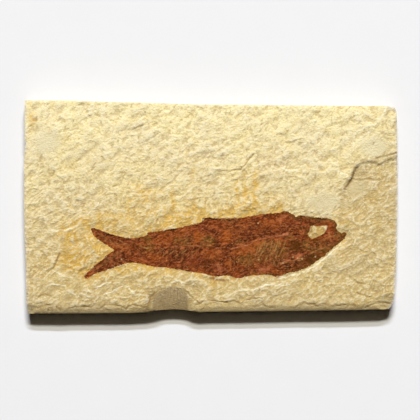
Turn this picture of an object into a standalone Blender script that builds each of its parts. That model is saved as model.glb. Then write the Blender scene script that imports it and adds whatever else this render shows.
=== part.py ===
"""Fossil fish slab: a sawn limestone plate with a flattened fish on its split face.

The plate lies on its flat back with the split face up.  X runs along the plate towards the fish's head,
Y towards the plate's upper edge and Z away from the back.  The origin is the middle of the back.
Lengths are in millimetres; MM turns them into Blender's metres where a mesh is made.
"""
import math

import bmesh
import bpy
import numpy as np
from mathutils import Vector
from mathutils.geometry import delaunay_2d_cdt

MM = 0.001

# ---- plate ---------------------------------------------------------------------------------------
THICKNESS = 12.0                # from the back to the mean level of the split face
HALF_LENGTH = 89.3
HALF_WIDTH = 51.0

# The four sawn edges, anticlockwise.  The lower one is a single straight saw cut, set in at the notch.
BOTTOM_EDGE = [(-87.1, -HALF_WIDTH), (-29.9, -50.3), (-22.0, -49.1), (-12.0, -49.1), (-1.5, -49.9),
               (85.6, -48.8)]
RIGHT_EDGE = [(85.6, -48.8), (87.2, -46.2), (88.3, -39.7), (88.8, -20.5), (HALF_LENGTH, 3.4),
              (HALF_LENGTH, 40.0), (88.9, 45.2), (87.4, 48.2)]
TOP_EDGE = [(87.4, 48.2), (84.0, 48.6), (66.8, 48.7), (42.9, 48.8), (19.0, 49.0), (-4.9, 49.2),
            (-28.8, 50.0), (-52.7, 50.7), (-HALF_LENGTH, HALF_WIDTH)]
LEFT_EDGE = [(-HALF_LENGTH, HALF_WIDTH), (-HALF_LENGTH, 31.8), (-88.7, 30.6), (-89.2, 29.6),
             (-88.8, 27.6), (-89.1, 26.4), (-89.1, 3.4), (-88.9, -20.5), (-88.4, -39.7), (-88.0, -44.4),
             (-87.1, -HALF_WIDTH)]

# Worn arrises: (edge, width on the face, drop down the side).
ARRISES = [(BOTTOM_EDGE, 2.2, 1.4), (RIGHT_EDGE, 1.2, 1.0), (TOP_EDGE, 0.9, 0.7), (LEFT_EDGE, 1.5, 1.1)]

# Flakes lost along the lower arris: (middle along X, half width, reach up the face, depth).
FLAKES = [(-80.5, 5.5, 5.0, 0.9), (-58.5, 11.0, 4.2, 0.8), (-38.5, 7.5, 3.2, 0.7), (6.0, 10.5, 4.8, 0.9),
          (20.5, 6.5, 5.6, 0.8), (34.0, 7.0, 3.2, 0.6), (48.5, 7.5, 3.4, 0.8), (64.0, 7.5, 3.1, 0.6),
          (78.3, 6.2, 4.0, 0.8)]
FLAKE_RISER = 0.6               # plan width of the little cliff round a flake

# Smooth scalloped notch in the lower edge.
NOTCH_ARC = [(-29.9, -50.35), (-29.1, -44.9), (-26.4, -40.2), (-22.3, -38.8), (-18.8, -37.9),
             (-15.3, -38.2), (-12.0, -39.9), (-8.6, -42.6), (-4.4, -46.3), (-1.5, -49.95)]
NOTCH_DEPTH = 3.6
NOTCH_REACH = 11.5
NOTCH_CURVE = 1.35              # 1 is a flat ramp, more is a deeper hollow
NOTCH_BLEND = 0.8               # the face's own relief has faded at this depth

# Step where the uppermost lamina has split away, at the upper right.
STEP_LINE = [(90.5, 26.0), (87.4, 23.9), (84.0, 23.0), (81.1, 21.3), (78.3, 22.0), (75.2, 22.5),
             (72.1, 22.0), (69.9, 20.3), (68.7, 18.2), (67.3, 14.4), (65.6, 11.5), (63.9, 9.1), (62.5, 6.2)]
STEP_CLOSE = [(66.0, -6.0), (78.0, -16.0), (92.0, -12.0)]
STEP_DROP = 1.1
STEP_RISER = 0.7
STEP_SHELF = 5.0
STEP_FADE = 20.0
STEP_END_FADE = 9.0
STEP_SIDE_FADE = 7.0

# Relief of the split face: swells, lumps along the grain, named ridges and calm patches.
SWELL = 0.30
SWELL_PERIODS = (46.0, 38.0)
GRAIN_ANGLE = math.radians(38.0)
LUMP = 0.45
LUMP_PERIODS = (9.5, 6.0)
PIT = 0.26
PIT_PERIODS = (5.6, 3.8)
RIDGES = [([(9.0, -40.0), (30.0, -38.6), (47.0, -32.5), (60.0, -22.5), (67.0, -14.0)], 0.40, 1.8),
          ([(45.0, 17.4), (57.0, 16.2), (69.0, 13.8)], 0.35, 1.4),
          ([(72.5, 46.0), (81.0, 40.5)], 0.35, 1.5),
          ([(-72.0, -22.0), (-74.0, -27.0), (-78.0, -31.0)], 0.30, 1.5),
          ([(0.5, 17.7), (14.6, 18.2), (20.4, 25.0)], 0.35, 1.6)]
CALM_PATCHES = [(78.8, 28.7, 7.5, 5.5), (54.4, 1.9, 10.0, 4.5), (-78.0, 31.1, 7.0, 6.0),
                (70.0, 9.0, 6.0, 4.0)]
CALM = 0.85

# ---- fish ----------------------------------------------------------------------------------------
FISH_BACK = [(-56.9, -10.3), (-53.7, -10.5), (-49.9, -12.3), (-45.6, -14.0), (-41.8, -14.6),
             (-36.6, -15.0), (-30.5, -14.0), (-29.8, -12.7), (-26.0, -11.8), (-21.7, -11.0),
             (-13.2, -9.5), (-8.9, -8.4), (-4.3, -8.0), (-3.3, -6.5), (-1.2, -5.2), (4.7, -5.3),
             (8.9, -5.4), (15.3, -5.0), (23.9, -3.5), (32.4, -2.8), (35.4, -2.2), (37.5, -2.7),
             (40.1, -4.1), (40.9, -5.0)]
FISH_HEAD = [(43.1, -4.1), (47.3, -4.8), (51.6, -5.2), (55.0, -5.4), (58.0, -6.0), (59.7, -7.1),
             (60.6, -8.6), (59.9, -9.9), (61.8, -11.0), (63.6, -12.3), (64.8, -12.3), (64.8, -13.6)]
FISH_BELLY = [(63.6, -14.8), (60.6, -17.4), (57.1, -20.3), (55.0, -22.5), (51.6, -24.6), (49.1, -26.7),
              (46.5, -28.3), (43.1, -29.8), (40.9, -30.6), (37.9, -30.8), (34.5, -32.1), (31.1, -33.0),
              (28.6, -31.9), (21.7, -31.9), (17.5, -32.7), (13.2, -34.0), (8.9, -33.0), (5.2, -33.3),
              (4.4, -34.6), (2.6, -34.2), (1.3, -33.0), (-0.4, -32.1), (-4.7, -31.0), (-8.9, -30.8),
              (-13.2, -29.8), (-21.7, -28.3), (-26.0, -28.3), (-32.4, -27.0), (-36.6, -26.3),
              (-40.1, -26.3)]
FISH_TAIL = [(-43.9, -27.6), (-51.6, -30.6), (-55.4, -32.1), (-57.6, -33.1), (-59.7, -33.8),
             (-59.9, -33.1), (-58.4, -31.7), (-56.7, -30.6), (-55.4, -28.9), (-53.7, -27.2),
             (-51.2, -25.5), (-48.6, -22.9), (-45.8, -20.8), (-47.3, -19.1), (-50.7, -16.9),
             (-55.4, -13.6), (-56.1, -12.7)]
EYE = [(47.8, -9.1), (49.9, -8.6), (55.5, -8.6), (56.1, -9.7), (55.5, -11.4), (53.8, -13.6),
       (50.7, -14.8), (48.2, -15.2), (46.5, -14.0), (46.7, -11.4)]

FIT_GAP = 0.3                   # clear air between the fish and its bed
BED_DEPTH = 2.4                 # floor of the bed below the mean face
BASIN = 0.45                    # the face sinks this much towards the fish
BASIN_REACH = 4.5
FISH_SINK = 0.25                # fish below the face next to it

SPINE = [(41.5, -12.6), (30.3, -14.0), (20.9, -16.1), (13.2, -18.5), (4.7, -18.2), (-9.7, -19.6),
         (-25.5, -20.1), (-40.7, -20.3)]
SPINE_HEIGHT = 0.42
SPINE_HALF = 0.9
SPINE_FLANK = 1.1               # the lines of triangles beside the spine
SPINE_GROOVE = 0.25
GROOVE_OFFSET = 1.7
GROOVE_HALF = 0.6
VERTEBRA = 3.4
BEAD_SWING = 0.18

# Raised bones of the head and shoulder: (line, height, half width).
BONES = [([(41.0, -7.1), (38.0, -12.0), (37.2, -17.5), (38.7, -22.5), (42.0, -26.3)], 0.34, 1.0),
         ([(44.6, -8.0), (45.0, -13.0), (45.6, -18.5), (47.9, -23.6)], 0.26, 0.9),
         ([(47.2, -23.0), (54.0, -20.2), (60.6, -15.6)], 0.30, 0.9),
         ([(61.1, -12.0), (57.6, -14.2), (53.4, -18.4)], 0.26, 0.8),
         ([(45.2, -6.6), (51.0, -6.8), (57.4, -7.4)], 0.24, 0.8),
         ([(30.3, -29.6), (36.7, -26.7), (44.8, -25.1)], 0.26, 0.9)]

RIB_COUNT = 11
RIB_START = 35.5
RIB_GAP = 1.8                   # from the spine's line to the head of a rib
RIB_BEND = 0.35                 # part of the lean that lies in the upper half
RIB_PITCH = 3.3
RIB_LEAN = 3.6
RIB_LENGTH = 10.5
RIB_HEIGHT = 0.20
RIB_HALF = 0.8

TAIL_ROOT = (-40.5, -20.3)
TAIL_LOBES = [((-55.6, -11.2), (-48.4, -17.7)), ((-58.0, -32.4), (-48.0, -23.6))]
TAIL_RAYS = 4
RAY_START = 0.25                # part of the way from the root to the tip where a ray begins
RAY_HEIGHT = 0.22
RAY_HALF = 0.7
SCALE_LUMP = 0.16
SCALE_PERIODS = (4.4, 3.2)

# ---- mesh density --------------------------------------------------------------------------------
EDGE_STEP = 3.4
LINE_STEP = 2.2
PLATE_LATTICE = (2.6, 2.3)
FISH_LATTICE = (1.8, 1.5)
JITTER = 0.25
FLAKE_PARTS = 8                 # chords in the half oval round a flake
CLEAR_OF_LINES = 0.42           # part of a lattice step kept free beside a line
PLATE_RIM_CLEAR = 0.35          # feature lines end this far from the plate's rims
FISH_RIM_CLEAR = 0.6
SIDE_BAND = 1.0                 # rim edges farther than this from the outline belong to the bed
SEED = 20
MERGE = 1e-5

COLOURS = {"limestone": (0.72, 0.60, 0.36, 1.0), "fossil_bone": (0.20, 0.062, 0.022, 1.0)}
ROUGHNESS = {"limestone": 0.92, "fossil_bone": 0.62}


# ---- plan geometry -------------------------------------------------------------------------------
def resample(line, step):
    """The same line with every stretch cut into equal parts no longer than step."""
    points = []
    for (ax, ay), (bx, by) in zip(line[:-1], line[1:]):
        parts = max(1, math.ceil(math.hypot(bx - ax, by - ay) / step))
        points += [(ax + (bx - ax) * k / parts, ay + (by - ay) * k / parts) for k in range(parts)]
    return points + [line[-1]]


def curve_through(line, parts):
    """A smooth Catmull-Rom curve through the points of an open line."""
    ends = [line[0]] + list(line) + [line[-1]]
    points = []
    for before, start, end, after in zip(ends[:-3], ends[1:-2], ends[2:-1], ends[3:]):
        for k in range(parts):
            t = k / parts
            blend = (-0.5 * t + t * t - 0.5 * t ** 3, 1 - 2.5 * t * t + 1.5 * t ** 3,
                     0.5 * t + 2 * t * t - 1.5 * t ** 3, -0.5 * t * t + 0.5 * t ** 3)
            knots = (before, start, end, after)
            points.append(tuple(sum(b * p[axis] for b, p in zip(blend, knots)) for axis in (0, 1)))
    return points + [tuple(line[-1])]


def offset_line(line, distance, closed=False):
    """The line moved to its left by distance, with mitred corners."""
    count = len(line)
    moved = []
    for k, (x, y) in enumerate(line):
        before = line[k - 1] if closed or k else line[k]
        after = line[(k + 1) % count] if closed or k < count - 1 else line[k]
        first = Vector((x - before[0], y - before[1])).normalized()
        second = Vector((after[0] - x, after[1] - y)).normalized()
        ahead = (first + second).normalized()
        normal = Vector((-ahead.y, ahead.x))
        edge = second if second.length else first
        miter = max(0.5, normal.dot(Vector((-edge.y, edge.x))))
        moved.append((x + normal.x * distance / miter, y + normal.y * distance / miter))
    return moved


def line_distance(x, y, line):
    """Distance in plan from each point to the nearest place on an open line."""
    nearest = np.full(np.shape(x), np.inf)
    for (ax, ay), (bx, by) in zip(line[:-1], line[1:]):
        dx, dy = bx - ax, by - ay
        along = np.clip(((x - ax) * dx + (y - ay) * dy) / (dx * dx + dy * dy + 1e-12), 0.0, 1.0)
        nearest = np.minimum(nearest, np.hypot(x - ax - along * dx, y - ay - along * dy))
    return nearest


def inside(x, y, loop):
    """True for each point that lies within a closed loop."""
    found = np.zeros(np.shape(x), dtype=bool)
    for (ax, ay), (bx, by) in zip(loop, loop[1:] + loop[:1]):
        if ay == by:
            continue
        crosses = (ay > y) != (by > y)
        found ^= crosses & (x < (bx - ax) * (y - ay) / (by - ay) + ax)
    return found


def smooth(value):
    """0 below 0, 1 above 1 and an even S between."""
    t = np.clip(value, 0.0, 1.0)
    return t * t * (3.0 - 2.0 * t)


def lattice_noise(x, y, seed):
    """Smooth noise of about -1 to 1 with a period of one unit, from hashed lattice slopes."""
    left, low = np.floor(x), np.floor(y)
    u, v = x - left, y - low

    def corner(du, dv):
        code = (left + du).astype(np.int64) * 374761393 + (low + dv).astype(np.int64) * 668265263
        code = (code + seed * 144665) & 0xFFFFFFFF
        code = ((code ^ (code >> 13)) * 1274126177) & 0xFFFFFFFF
        angle = (code ^ (code >> 16)) * (2.0 * math.pi / 2 ** 32)
        return np.cos(angle) * (u - du) + np.sin(angle) * (v - dv)

    fade_u = u * u * u * (u * (6.0 * u - 15.0) + 10.0)
    fade_v = v * v * v * (v * (6.0 * v - 15.0) + 10.0)
    lower = corner(0, 0) + fade_u * (corner(1, 0) - corner(0, 0))
    upper = corner(0, 1) + fade_u * (corner(1, 1) - corner(0, 1))
    return 1.5 * (lower + fade_v * (upper - lower))


def grain_noise(x, y, periods, seed):
    """Lattice noise stretched along the grain of the stone."""
    along = x * math.cos(GRAIN_ANGLE) + y * math.sin(GRAIN_ANGLE)
    across = y * math.cos(GRAIN_ANGLE) - x * math.sin(GRAIN_ANGLE)
    return lattice_noise(along / periods[0], across / periods[1], seed)


# ---- outlines ------------------------------------------------------------------------------------
FISH_OUTLINE = FISH_BACK + FISH_HEAD + FISH_BELLY + FISH_TAIL      # clockwise, from the upper tail tip
NOTCH_CURVE_LINE = curve_through(NOTCH_ARC, 3)


def plate_outline():
    edges = [resample(edge, EDGE_STEP)[:-1] for edge in (BOTTOM_EDGE, RIGHT_EDGE, TOP_EDGE, LEFT_EDGE)]
    return [point for edge in edges for point in edge]


def bottom_edge_y(x):
    """The straight saw cut of the lower edge, without the set-in stretch at the notch."""
    (ax, ay), (bx, by) = BOTTOM_EDGE[0], BOTTOM_EDGE[-1]
    return ay + (by - ay) * (x - ax) / (bx - ax)


# ---- relief of the plate -------------------------------------------------------------------------
def bedding_level(x, y):
    """Broad swells of the bedding, with the shallow basin round the fish."""
    swell = SWELL * lattice_noise(x / SWELL_PERIODS[0], y / SWELL_PERIODS[1], 1)
    away = line_distance(x, y, FISH_OUTLINE + FISH_OUTLINE[:1])
    away = np.where(inside(x, y, FISH_OUTLINE), 0.0, away)
    return swell - BASIN * (1.0 - smooth(away / BASIN_REACH))


def calmness(x, y):
    """1 on rough stone, less on the smooth bare patches."""
    rough = np.ones(np.shape(x))
    for cx, cy, rx, ry in CALM_PATCHES:
        radius = ((x - cx) / rx) ** 2 + ((y - cy) / ry) ** 2
        rough *= 1.0 - CALM * np.exp(-radius ** 2)
    return rough


def face_lumps(x, y):
    lumps = LUMP * grain_noise(x, y, LUMP_PERIODS, 2) + PIT * grain_noise(x, y, PIT_PERIODS, 3)
    return lumps * calmness(x, y)


def face_ridges(x, y):
    height = np.zeros(np.shape(x))
    for line, rise, half in RIDGES:
        height += rise * np.exp(-(line_distance(x, y, line) / half) ** 2)
    return height


def step_drop(x, y):
    """How far the split-away corner lies below the rest of the face."""
    away = line_distance(x, y, STEP_LINE)
    from_end = np.hypot(x - STEP_LINE[-1][0], y - STEP_LINE[-1][1])
    drop = STEP_DROP * smooth(away / STEP_RISER) * (1.0 - smooth((away - STEP_SHELF) / STEP_FADE))
    from_side = line_distance(x, y, STEP_LINE[-1:] + STEP_CLOSE)
    drop = drop * smooth(from_end / STEP_END_FADE) * smooth(from_side / STEP_SIDE_FADE)
    return np.where(inside(x, y, STEP_LINE + STEP_CLOSE), drop, 0.0)


def flake_drop(x, y):
    drop = np.zeros(np.shape(x))
    for middle, half, reach, depth in FLAKES:
        across = np.clip(1.0 - ((x - middle) / half) ** 2, 0.0, 1.0)
        margin = reach * np.sqrt(across) - (y - bottom_edge_y(x))
        drop = np.maximum(drop, depth * smooth(margin / FLAKE_RISER))
    return drop


def arris_drop(x, y):
    drop = np.zeros(np.shape(x))
    for edge, width, fall in ARRISES:
        drop = np.maximum(drop, fall * np.clip(1.0 - line_distance(x, y, edge) / width, 0.0, 1.0))
    return drop


def notch_drop(x, y):
    reach = np.clip(line_distance(x, y, NOTCH_CURVE_LINE) / NOTCH_REACH, 0.0, 1.0)
    scoop = NOTCH_DEPTH * (1.0 - (1.0 - reach) ** NOTCH_CURVE)
    return np.where(inside(x, y, NOTCH_CURVE_LINE), scoop, 0.0)


def face_height(x, y):
    """Height of the plate's upper surface above its back."""
    notch = notch_drop(x, y)
    relief = face_lumps(x, y) + face_ridges(x, y) - step_drop(x, y) - flake_drop(x, y)
    scooped = smooth(notch / NOTCH_BLEND)
    return THICKNESS + bedding_level(x, y) + relief * (1.0 - scooped) - np.maximum(arris_drop(x, y), notch)


# ---- relief of the fish --------------------------------------------------------------------------
def spine_y(x):
    line = sorted(SPINE)
    return np.interp(x, [p[0] for p in line], [p[1] for p in line])


def rib_lines():
    lines = []
    for k in range(RIB_COUNT):
        x = RIB_START - k * RIB_PITCH
        top = float(spine_y(x)) - RIB_GAP
        knee = (x - RIB_BEND * RIB_LEAN, top - 0.5 * RIB_LENGTH)
        lines.append([(x, top), knee, (x - RIB_LEAN, top - RIB_LENGTH)])
    return lines


def ray_lines():
    lines = []
    for outer, inner in TAIL_LOBES:
        for k in range(TAIL_RAYS):
            part = k / (TAIL_RAYS - 1)
            tip = tuple(a + (b - a) * part for a, b in zip(outer, inner))
            start = tuple(a + (b - a) * RAY_START for a, b in zip(TAIL_ROOT, tip))
            lines.append([start, tip])
    return lines


def crest(x, y, line, height, half):
    return height * np.exp(-(line_distance(x, y, line) / half) ** 2)


def spine_relief(x, y):
    """A beaded backbone with a groove along its upper side."""
    beads = 1.0 - BEAD_SWING + BEAD_SWING * np.cos(2.0 * math.pi * x / VERTEBRA)
    ridge = crest(x, y, SPINE, SPINE_HEIGHT, SPINE_HALF) * beads
    return ridge - crest(x, y, offset_line(SPINE, -GROOVE_OFFSET), SPINE_GROOVE, GROOVE_HALF)


def fish_relief(x, y):
    height = spine_relief(x, y) + SCALE_LUMP * grain_noise(x, y, SCALE_PERIODS, 5)
    for line, rise, half in BONES:
        height += crest(x, y, line, rise, half)
    for line in rib_lines():
        height += crest(x, y, line, RIB_HEIGHT, RIB_HALF)
    for line in ray_lines():
        height += crest(x, y, line, RAY_HEIGHT, RAY_HALF)
    return height


def fish_height(x, y):
    return THICKNESS + bedding_level(x, y) - FISH_SINK + fish_relief(x, y)


# ---- triangulated surfaces -----------------------------------------------------------------------
def lattice(loop, steps, jitter, lines):
    """Scattered points inside a loop, in staggered rows, clear of the feature lines."""
    random = np.random.RandomState(SEED)
    xs, ys = [p[0] for p in loop], [p[1] for p in loop]
    columns = np.arange(min(xs), max(xs), steps[0])
    rows = np.arange(min(ys), max(ys), steps[1])
    x, y = np.meshgrid(columns, rows)
    x = x + 0.5 * steps[0] * (np.arange(len(rows)) % 2)[:, None]
    x = (x + jitter * steps[0] * random.uniform(-1.0, 1.0, x.shape)).ravel()
    y = (y + jitter * steps[1] * random.uniform(-1.0, 1.0, y.size).reshape(y.shape)).ravel()
    keep = inside(x, y, loop)
    for line in lines:
        keep &= line_distance(x, y, line) > CLEAR_OF_LINES * min(steps)
    return list(zip(x[keep], y[keep]))


def triangulate(loops, lines, spots):
    """Delaunay triangles over all the points, with every loop and line kept as edges."""
    points, edges = [], []
    for loop in loops:
        first = len(points)
        points += loop
        edges += [(first + k, first + (k + 1) % len(loop)) for k in range(len(loop))]
    for line in lines:
        first = len(points)
        points += line
        edges += [(first + k, first + k + 1) for k in range(len(line) - 1)]
    points += spots
    found = delaunay_2d_cdt([Vector(p) for p in points], edges, [], 0, MERGE)
    return np.array([tuple(p) for p in found[0]]), found[2]


def surface(points, faces, keep_face, height):
    """A bmesh of the kept triangles, lifted to their height."""
    centres = np.array([points[list(face)].mean(axis=0) for face in faces])
    kept = [face for face, good in zip(faces, keep_face(centres[:, 0], centres[:, 1])) if good]
    z = height(points[:, 0], points[:, 1])
    mesh = bmesh.new()
    corners = {}
    for index in sorted({corner for face in kept for corner in face}):
        corners[index] = mesh.verts.new((points[index][0], points[index][1], z[index]))
    for face in kept:
        mesh.faces.new([corners[index] for index in face])
    return mesh


def open_edges(mesh, chosen):
    return [edge for edge in mesh.edges if len(edge.link_faces) == 1 and chosen(edge)]


def wall_down(mesh, edges, level):
    """Walls straight down from open edges to a level; returns the edges at their foot."""
    grown = bmesh.ops.extrude_edge_only(mesh, edges=edges)["geom"]
    for vertex in grown:
        if isinstance(vertex, bmesh.types.BMVert):
            vertex.co.z = level
    return [edge for edge in grown if isinstance(edge, bmesh.types.BMEdge) and edge.is_boundary]


def close_flat(mesh, edges):
    bmesh.ops.triangle_fill(mesh, use_beauty=True, use_dissolve=False, edges=edges)


def finish_object(mesh, name, material):
    """Turn a bmesh in millimetres into a named object in metres."""
    bmesh.ops.recalc_face_normals(mesh, faces=mesh.faces)
    bmesh.ops.scale(mesh, vec=(MM, MM, MM), verts=mesh.verts)
    data = bpy.data.meshes.new(name)
    mesh.to_mesh(data)
    mesh.free()
    data.materials.append(material)
    piece = bpy.data.objects.new(name, data)
    bpy.context.scene.collection.objects.link(piece)
    return piece


# ---- the two pieces ------------------------------------------------------------------------------
def plate_lines():
    """Lines that the plate's triangles follow: arrises, step, notch, flakes and ridges."""
    lines = [resample(offset_line(edge, width), EDGE_STEP) for edge, width, _ in ARRISES]
    lines += [resample(offset_line(STEP_LINE, side), LINE_STEP) for side in (0.0, STEP_RISER)]
    lines.append(NOTCH_CURVE_LINE)
    lines += [resample(line, LINE_STEP) for line, _, _ in RIDGES]
    for middle, half, reach, _ in FLAKES:
        for shrink in (0.0, FLAKE_RISER):
            turns = [math.pi * (k + 1) / FLAKE_PARTS for k in range(FLAKE_PARTS - 1)]
            lines.append([(middle + half * math.cos(t),
                           float(bottom_edge_y(middle)) + (reach - shrink) * math.sin(t)) for t in turns])
    return lines


def clip_lines(lines, allowed):
    """Only the stretches of the lines whose points are allowed."""
    kept = []
    for line in lines:
        x, y = (np.array([p[axis] for p in line]) for axis in (0, 1))
        stretch = []
        for point, good in zip(line, allowed(x, y)):
            if good:
                stretch.append(point)
            elif stretch:
                kept.append(stretch)
                stretch = []
        if stretch:
            kept.append(stretch)
    return [line for line in kept if len(line) > 1]


def make_plate(material):
    outline = plate_outline()
    bed = offset_line(FISH_OUTLINE, FIT_GAP, closed=True)
    island = offset_line(EYE, -FIT_GAP, closed=True)

    def on_face(x, y):
        return inside(x, y, outline) & (~inside(x, y, bed) | inside(x, y, island))

    def clear_of_loops(x, y):
        near = np.full(np.shape(x), np.inf)
        for loop in (outline, bed, island):
            near = np.minimum(near, line_distance(x, y, loop + loop[:1]))
        return on_face(x, y) & (near > PLATE_RIM_CLEAR)

    lines = clip_lines(plate_lines(), clear_of_loops)
    loops = [outline, bed, island]
    rims = [loop + loop[:1] for loop in loops]
    spots = lattice(outline, PLATE_LATTICE, JITTER, lines + rims)
    x, y = (np.array([p[axis] for p in spots]) for axis in (0, 1))
    spots = [spot for spot, good in zip(spots, on_face(x, y)) if good]
    points, faces = triangulate(loops, lines, spots)
    mesh = surface(points, faces, on_face, face_height)

    def at_bed(edge):
        x, y = (np.array([(edge.verts[0].co[axis] + edge.verts[1].co[axis]) / 2]) for axis in (0, 1))
        return bool((line_distance(x, y, rims[0]) > SIDE_BAND)[0])

    bed_foot = wall_down(mesh, open_edges(mesh, at_bed), THICKNESS - BED_DEPTH)
    close_flat(mesh, bed_foot)
    back_rim = wall_down(mesh, open_edges(mesh, lambda edge: True), 0.0)
    close_flat(mesh, back_rim)
    return finish_object(mesh, "limestone_slab", material)


def make_fish(material):
    rim = FISH_OUTLINE + FISH_OUTLINE[:1]
    eye_rim = EYE + EYE[:1]

    def on_fish(x, y):
        return inside(x, y, FISH_OUTLINE) & ~inside(x, y, EYE)

    def clear_of_rims(x, y):
        near = np.minimum(line_distance(x, y, rim), line_distance(x, y, eye_rim))
        return on_fish(x, y) & (near > FISH_RIM_CLEAR)

    lines = [resample(line, LINE_STEP) for line, _, _ in BONES]
    lines += [resample(offset_line(SPINE, side), LINE_STEP) for side in (0.0, -SPINE_FLANK, SPINE_FLANK)]
    lines += [resample(line, LINE_STEP) for line in rib_lines() + ray_lines()]
    lines = clip_lines(lines, clear_of_rims)
    spots = lattice(FISH_OUTLINE, FISH_LATTICE, 0.0, lines + [rim, eye_rim])
    x, y = (np.array([p[axis] for p in spots]) for axis in (0, 1))
    spots = [spot for spot, good in zip(spots, on_fish(x, y)) if good]
    points, faces = triangulate([FISH_OUTLINE, EYE], lines, spots)
    mesh = surface(points, faces, on_fish, fish_height)
    foot = wall_down(mesh, open_edges(mesh, lambda edge: True), THICKNESS - BED_DEPTH + FIT_GAP)
    close_flat(mesh, foot)
    return finish_object(mesh, "fossil_fish", material)


def make_material(name):
    material = bpy.data.materials.new(name)
    material.use_nodes = True
    shader = material.node_tree.nodes["Principled BSDF"]
    shader.inputs["Base Color"].default_value = COLOURS[name]
    shader.inputs["Roughness"].default_value = ROUGHNESS[name]
    shader.inputs["Metallic"].default_value = 0.0
    return material


def clear_scene():
    for item in list(bpy.data.objects):
        bpy.data.objects.remove(item, do_unlink=True)


def main():
    clear_scene()
    make_plate(make_material("limestone"))
    make_fish(make_material("fossil_bone"))


main()
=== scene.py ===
"""Looks of the fossil fish slab: a split limestone plate with a flattened, iron-stained fish.

The plate lies on its back, split face up, and the camera looks straight down on it.  Lengths are in
millimetres in the same frame as the solids; MM turns them into metres.  The outlines and the large
relief repeat part.py; the fine relief, the colours, the floor, the light and the camera are made here.
"""
import math

import bmesh
import bpy
import numpy as np
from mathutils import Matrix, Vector
from mathutils.geometry import delaunay_2d_cdt


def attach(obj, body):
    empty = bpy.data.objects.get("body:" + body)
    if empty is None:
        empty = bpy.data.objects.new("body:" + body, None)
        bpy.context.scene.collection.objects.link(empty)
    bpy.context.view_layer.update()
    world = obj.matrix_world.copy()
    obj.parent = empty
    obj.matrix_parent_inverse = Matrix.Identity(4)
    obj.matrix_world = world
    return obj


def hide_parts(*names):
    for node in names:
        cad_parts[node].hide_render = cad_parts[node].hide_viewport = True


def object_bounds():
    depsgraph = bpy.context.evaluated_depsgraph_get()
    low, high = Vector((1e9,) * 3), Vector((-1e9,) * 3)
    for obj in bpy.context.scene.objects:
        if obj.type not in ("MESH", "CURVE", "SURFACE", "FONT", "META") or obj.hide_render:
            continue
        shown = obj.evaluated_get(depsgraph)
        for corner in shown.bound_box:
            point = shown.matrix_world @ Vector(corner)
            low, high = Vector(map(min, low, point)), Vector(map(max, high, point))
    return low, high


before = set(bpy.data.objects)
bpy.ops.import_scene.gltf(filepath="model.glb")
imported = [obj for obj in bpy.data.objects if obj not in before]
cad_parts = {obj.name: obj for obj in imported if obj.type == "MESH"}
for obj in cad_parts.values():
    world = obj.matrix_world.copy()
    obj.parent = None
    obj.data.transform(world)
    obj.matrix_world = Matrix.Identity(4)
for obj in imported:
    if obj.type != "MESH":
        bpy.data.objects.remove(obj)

CAD_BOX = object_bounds()
MM = 0.001
TINY = 1e-9  # keeps lengths from being zero


def pairs(values):
    """(x, y) points from x, y, x, y and so on."""
    return list(zip(values[::2], values[1::2]))


def paths(rows):
    return [pairs(row) for row in rows]


def marks(rows):
    """(line, strength, half width) from rows of strength, half width, x, y, x, y and so on."""
    return [(pairs(row[2:]), *row[:2]) for row in rows]


# ---- plate, as in part.py ----
THICKNESS = 12
HALF_LENGTH = 89.3
HALF_WIDTH = 51
BOTTOM_EDGE = pairs([
    -87.1, -HALF_WIDTH, -38.4, -50.8, -31.2, -50.45, -26.4, -49.5, -20, -49.05, -16.8, -48.9, -12.1, -49.25,
    -7.3, -49.95, -4.9, -50.4, 0, -50.15, 33.3, -49.8, 71.6, -49.3, 83, -48.95, 85.6, -48.8])
RIGHT_EDGE = pairs([
    85.6, -48.8, 87.2, -46.2, 88.2, -41.6, 88.3, -36.8, 88.6, -32, 89, -27.2, 89.1, -20.5, 89.5, 3.4, 89.6, 12,
    89.4, 30, 89.3, 40, 89.2, 45.4, 88.2, 47.5])
TOP_EDGE = pairs([
    88.2, 47.5, 84, 48.4, 66.8, 48.4, 42.9, 48.6, 19, 48.9, -4.9, 49, -28.8, 49.8, -52.7, 50.4, -60, 50.7,
    -70, 51, -88.7, HALF_WIDTH])
LEFT_EDGE = pairs([
    -88.7, HALF_WIDTH, -88.7, 31.8, -88, 30.4, -88.6, 29, -88.5, 27.6, -88.9, 25.4, -89.1, 20, -89.1, 3.4,
    -88.7, -12.9, -88.4, -22.4, -88.15, -27.2, -88, -36.8, -87.9, -41.6, -87.65, -46.4, -87.1, -HALF_WIDTH])
ARRISES = [(BOTTOM_EDGE, 2.6, 1.6), (RIGHT_EDGE, 0.9, 0.35), (TOP_EDGE, 0.8, 0.25), (LEFT_EDGE, 0.9, 0.35)]
CORNERS = [(-87.1, -51, 5, 3), (85.6, -48.8, 8, 3)]
HEM = 5  # band of smoother stone along the lower edge
HEM_RELIEF = 0.18
FLAKES = [
    (-80.5, 5.5, 5, 0.9), (-58.5, 11, 4.2, 0.8), (-38.5, 7.5, 3.2, 0.7), (6, 10.5, 4.8, 0.9),
    (20.5, 6.5, 5.6, 0.8), (34, 7, 3.2, 0.6), (48.5, 7.5, 3.4, 0.8), (64, 7.5, 3.1, 0.6), (78.3, 6.2, 4, 0.8)]
FLAKE_RISER = 0.6
FLAKE_SHARE = 0.4  # the visible flakes are shallower and more ragged than the solid's
NOTCH_ARC = pairs([
    -30.3, -52.5, -29.1, -44.9, -26.4, -40.2, -22.3, -38.8, -18.8, -37.9, -15.3, -38.2, -12, -39.9, -8.6, -42.6,
    -4.4, -46.3, -0.6, -52.5])
NOTCH_DEPTH = 3.1
NOTCH_REACH = 11.5
NOTCH_TOP = -37.6
NOTCH_FLANK = 0.42
SCOOP_END = -10.4  # right of this the notch is a rough chip, not a smooth scoop
SCOOP = pairs([
    -27.6, -52, -27.4, -44.6, -26, -41.6, -21.6, -38.9, -17.8, -37.8, -13.8, -38.6, -11.2, -41, -10.6, -45,
    -10.4, -52])
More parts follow.
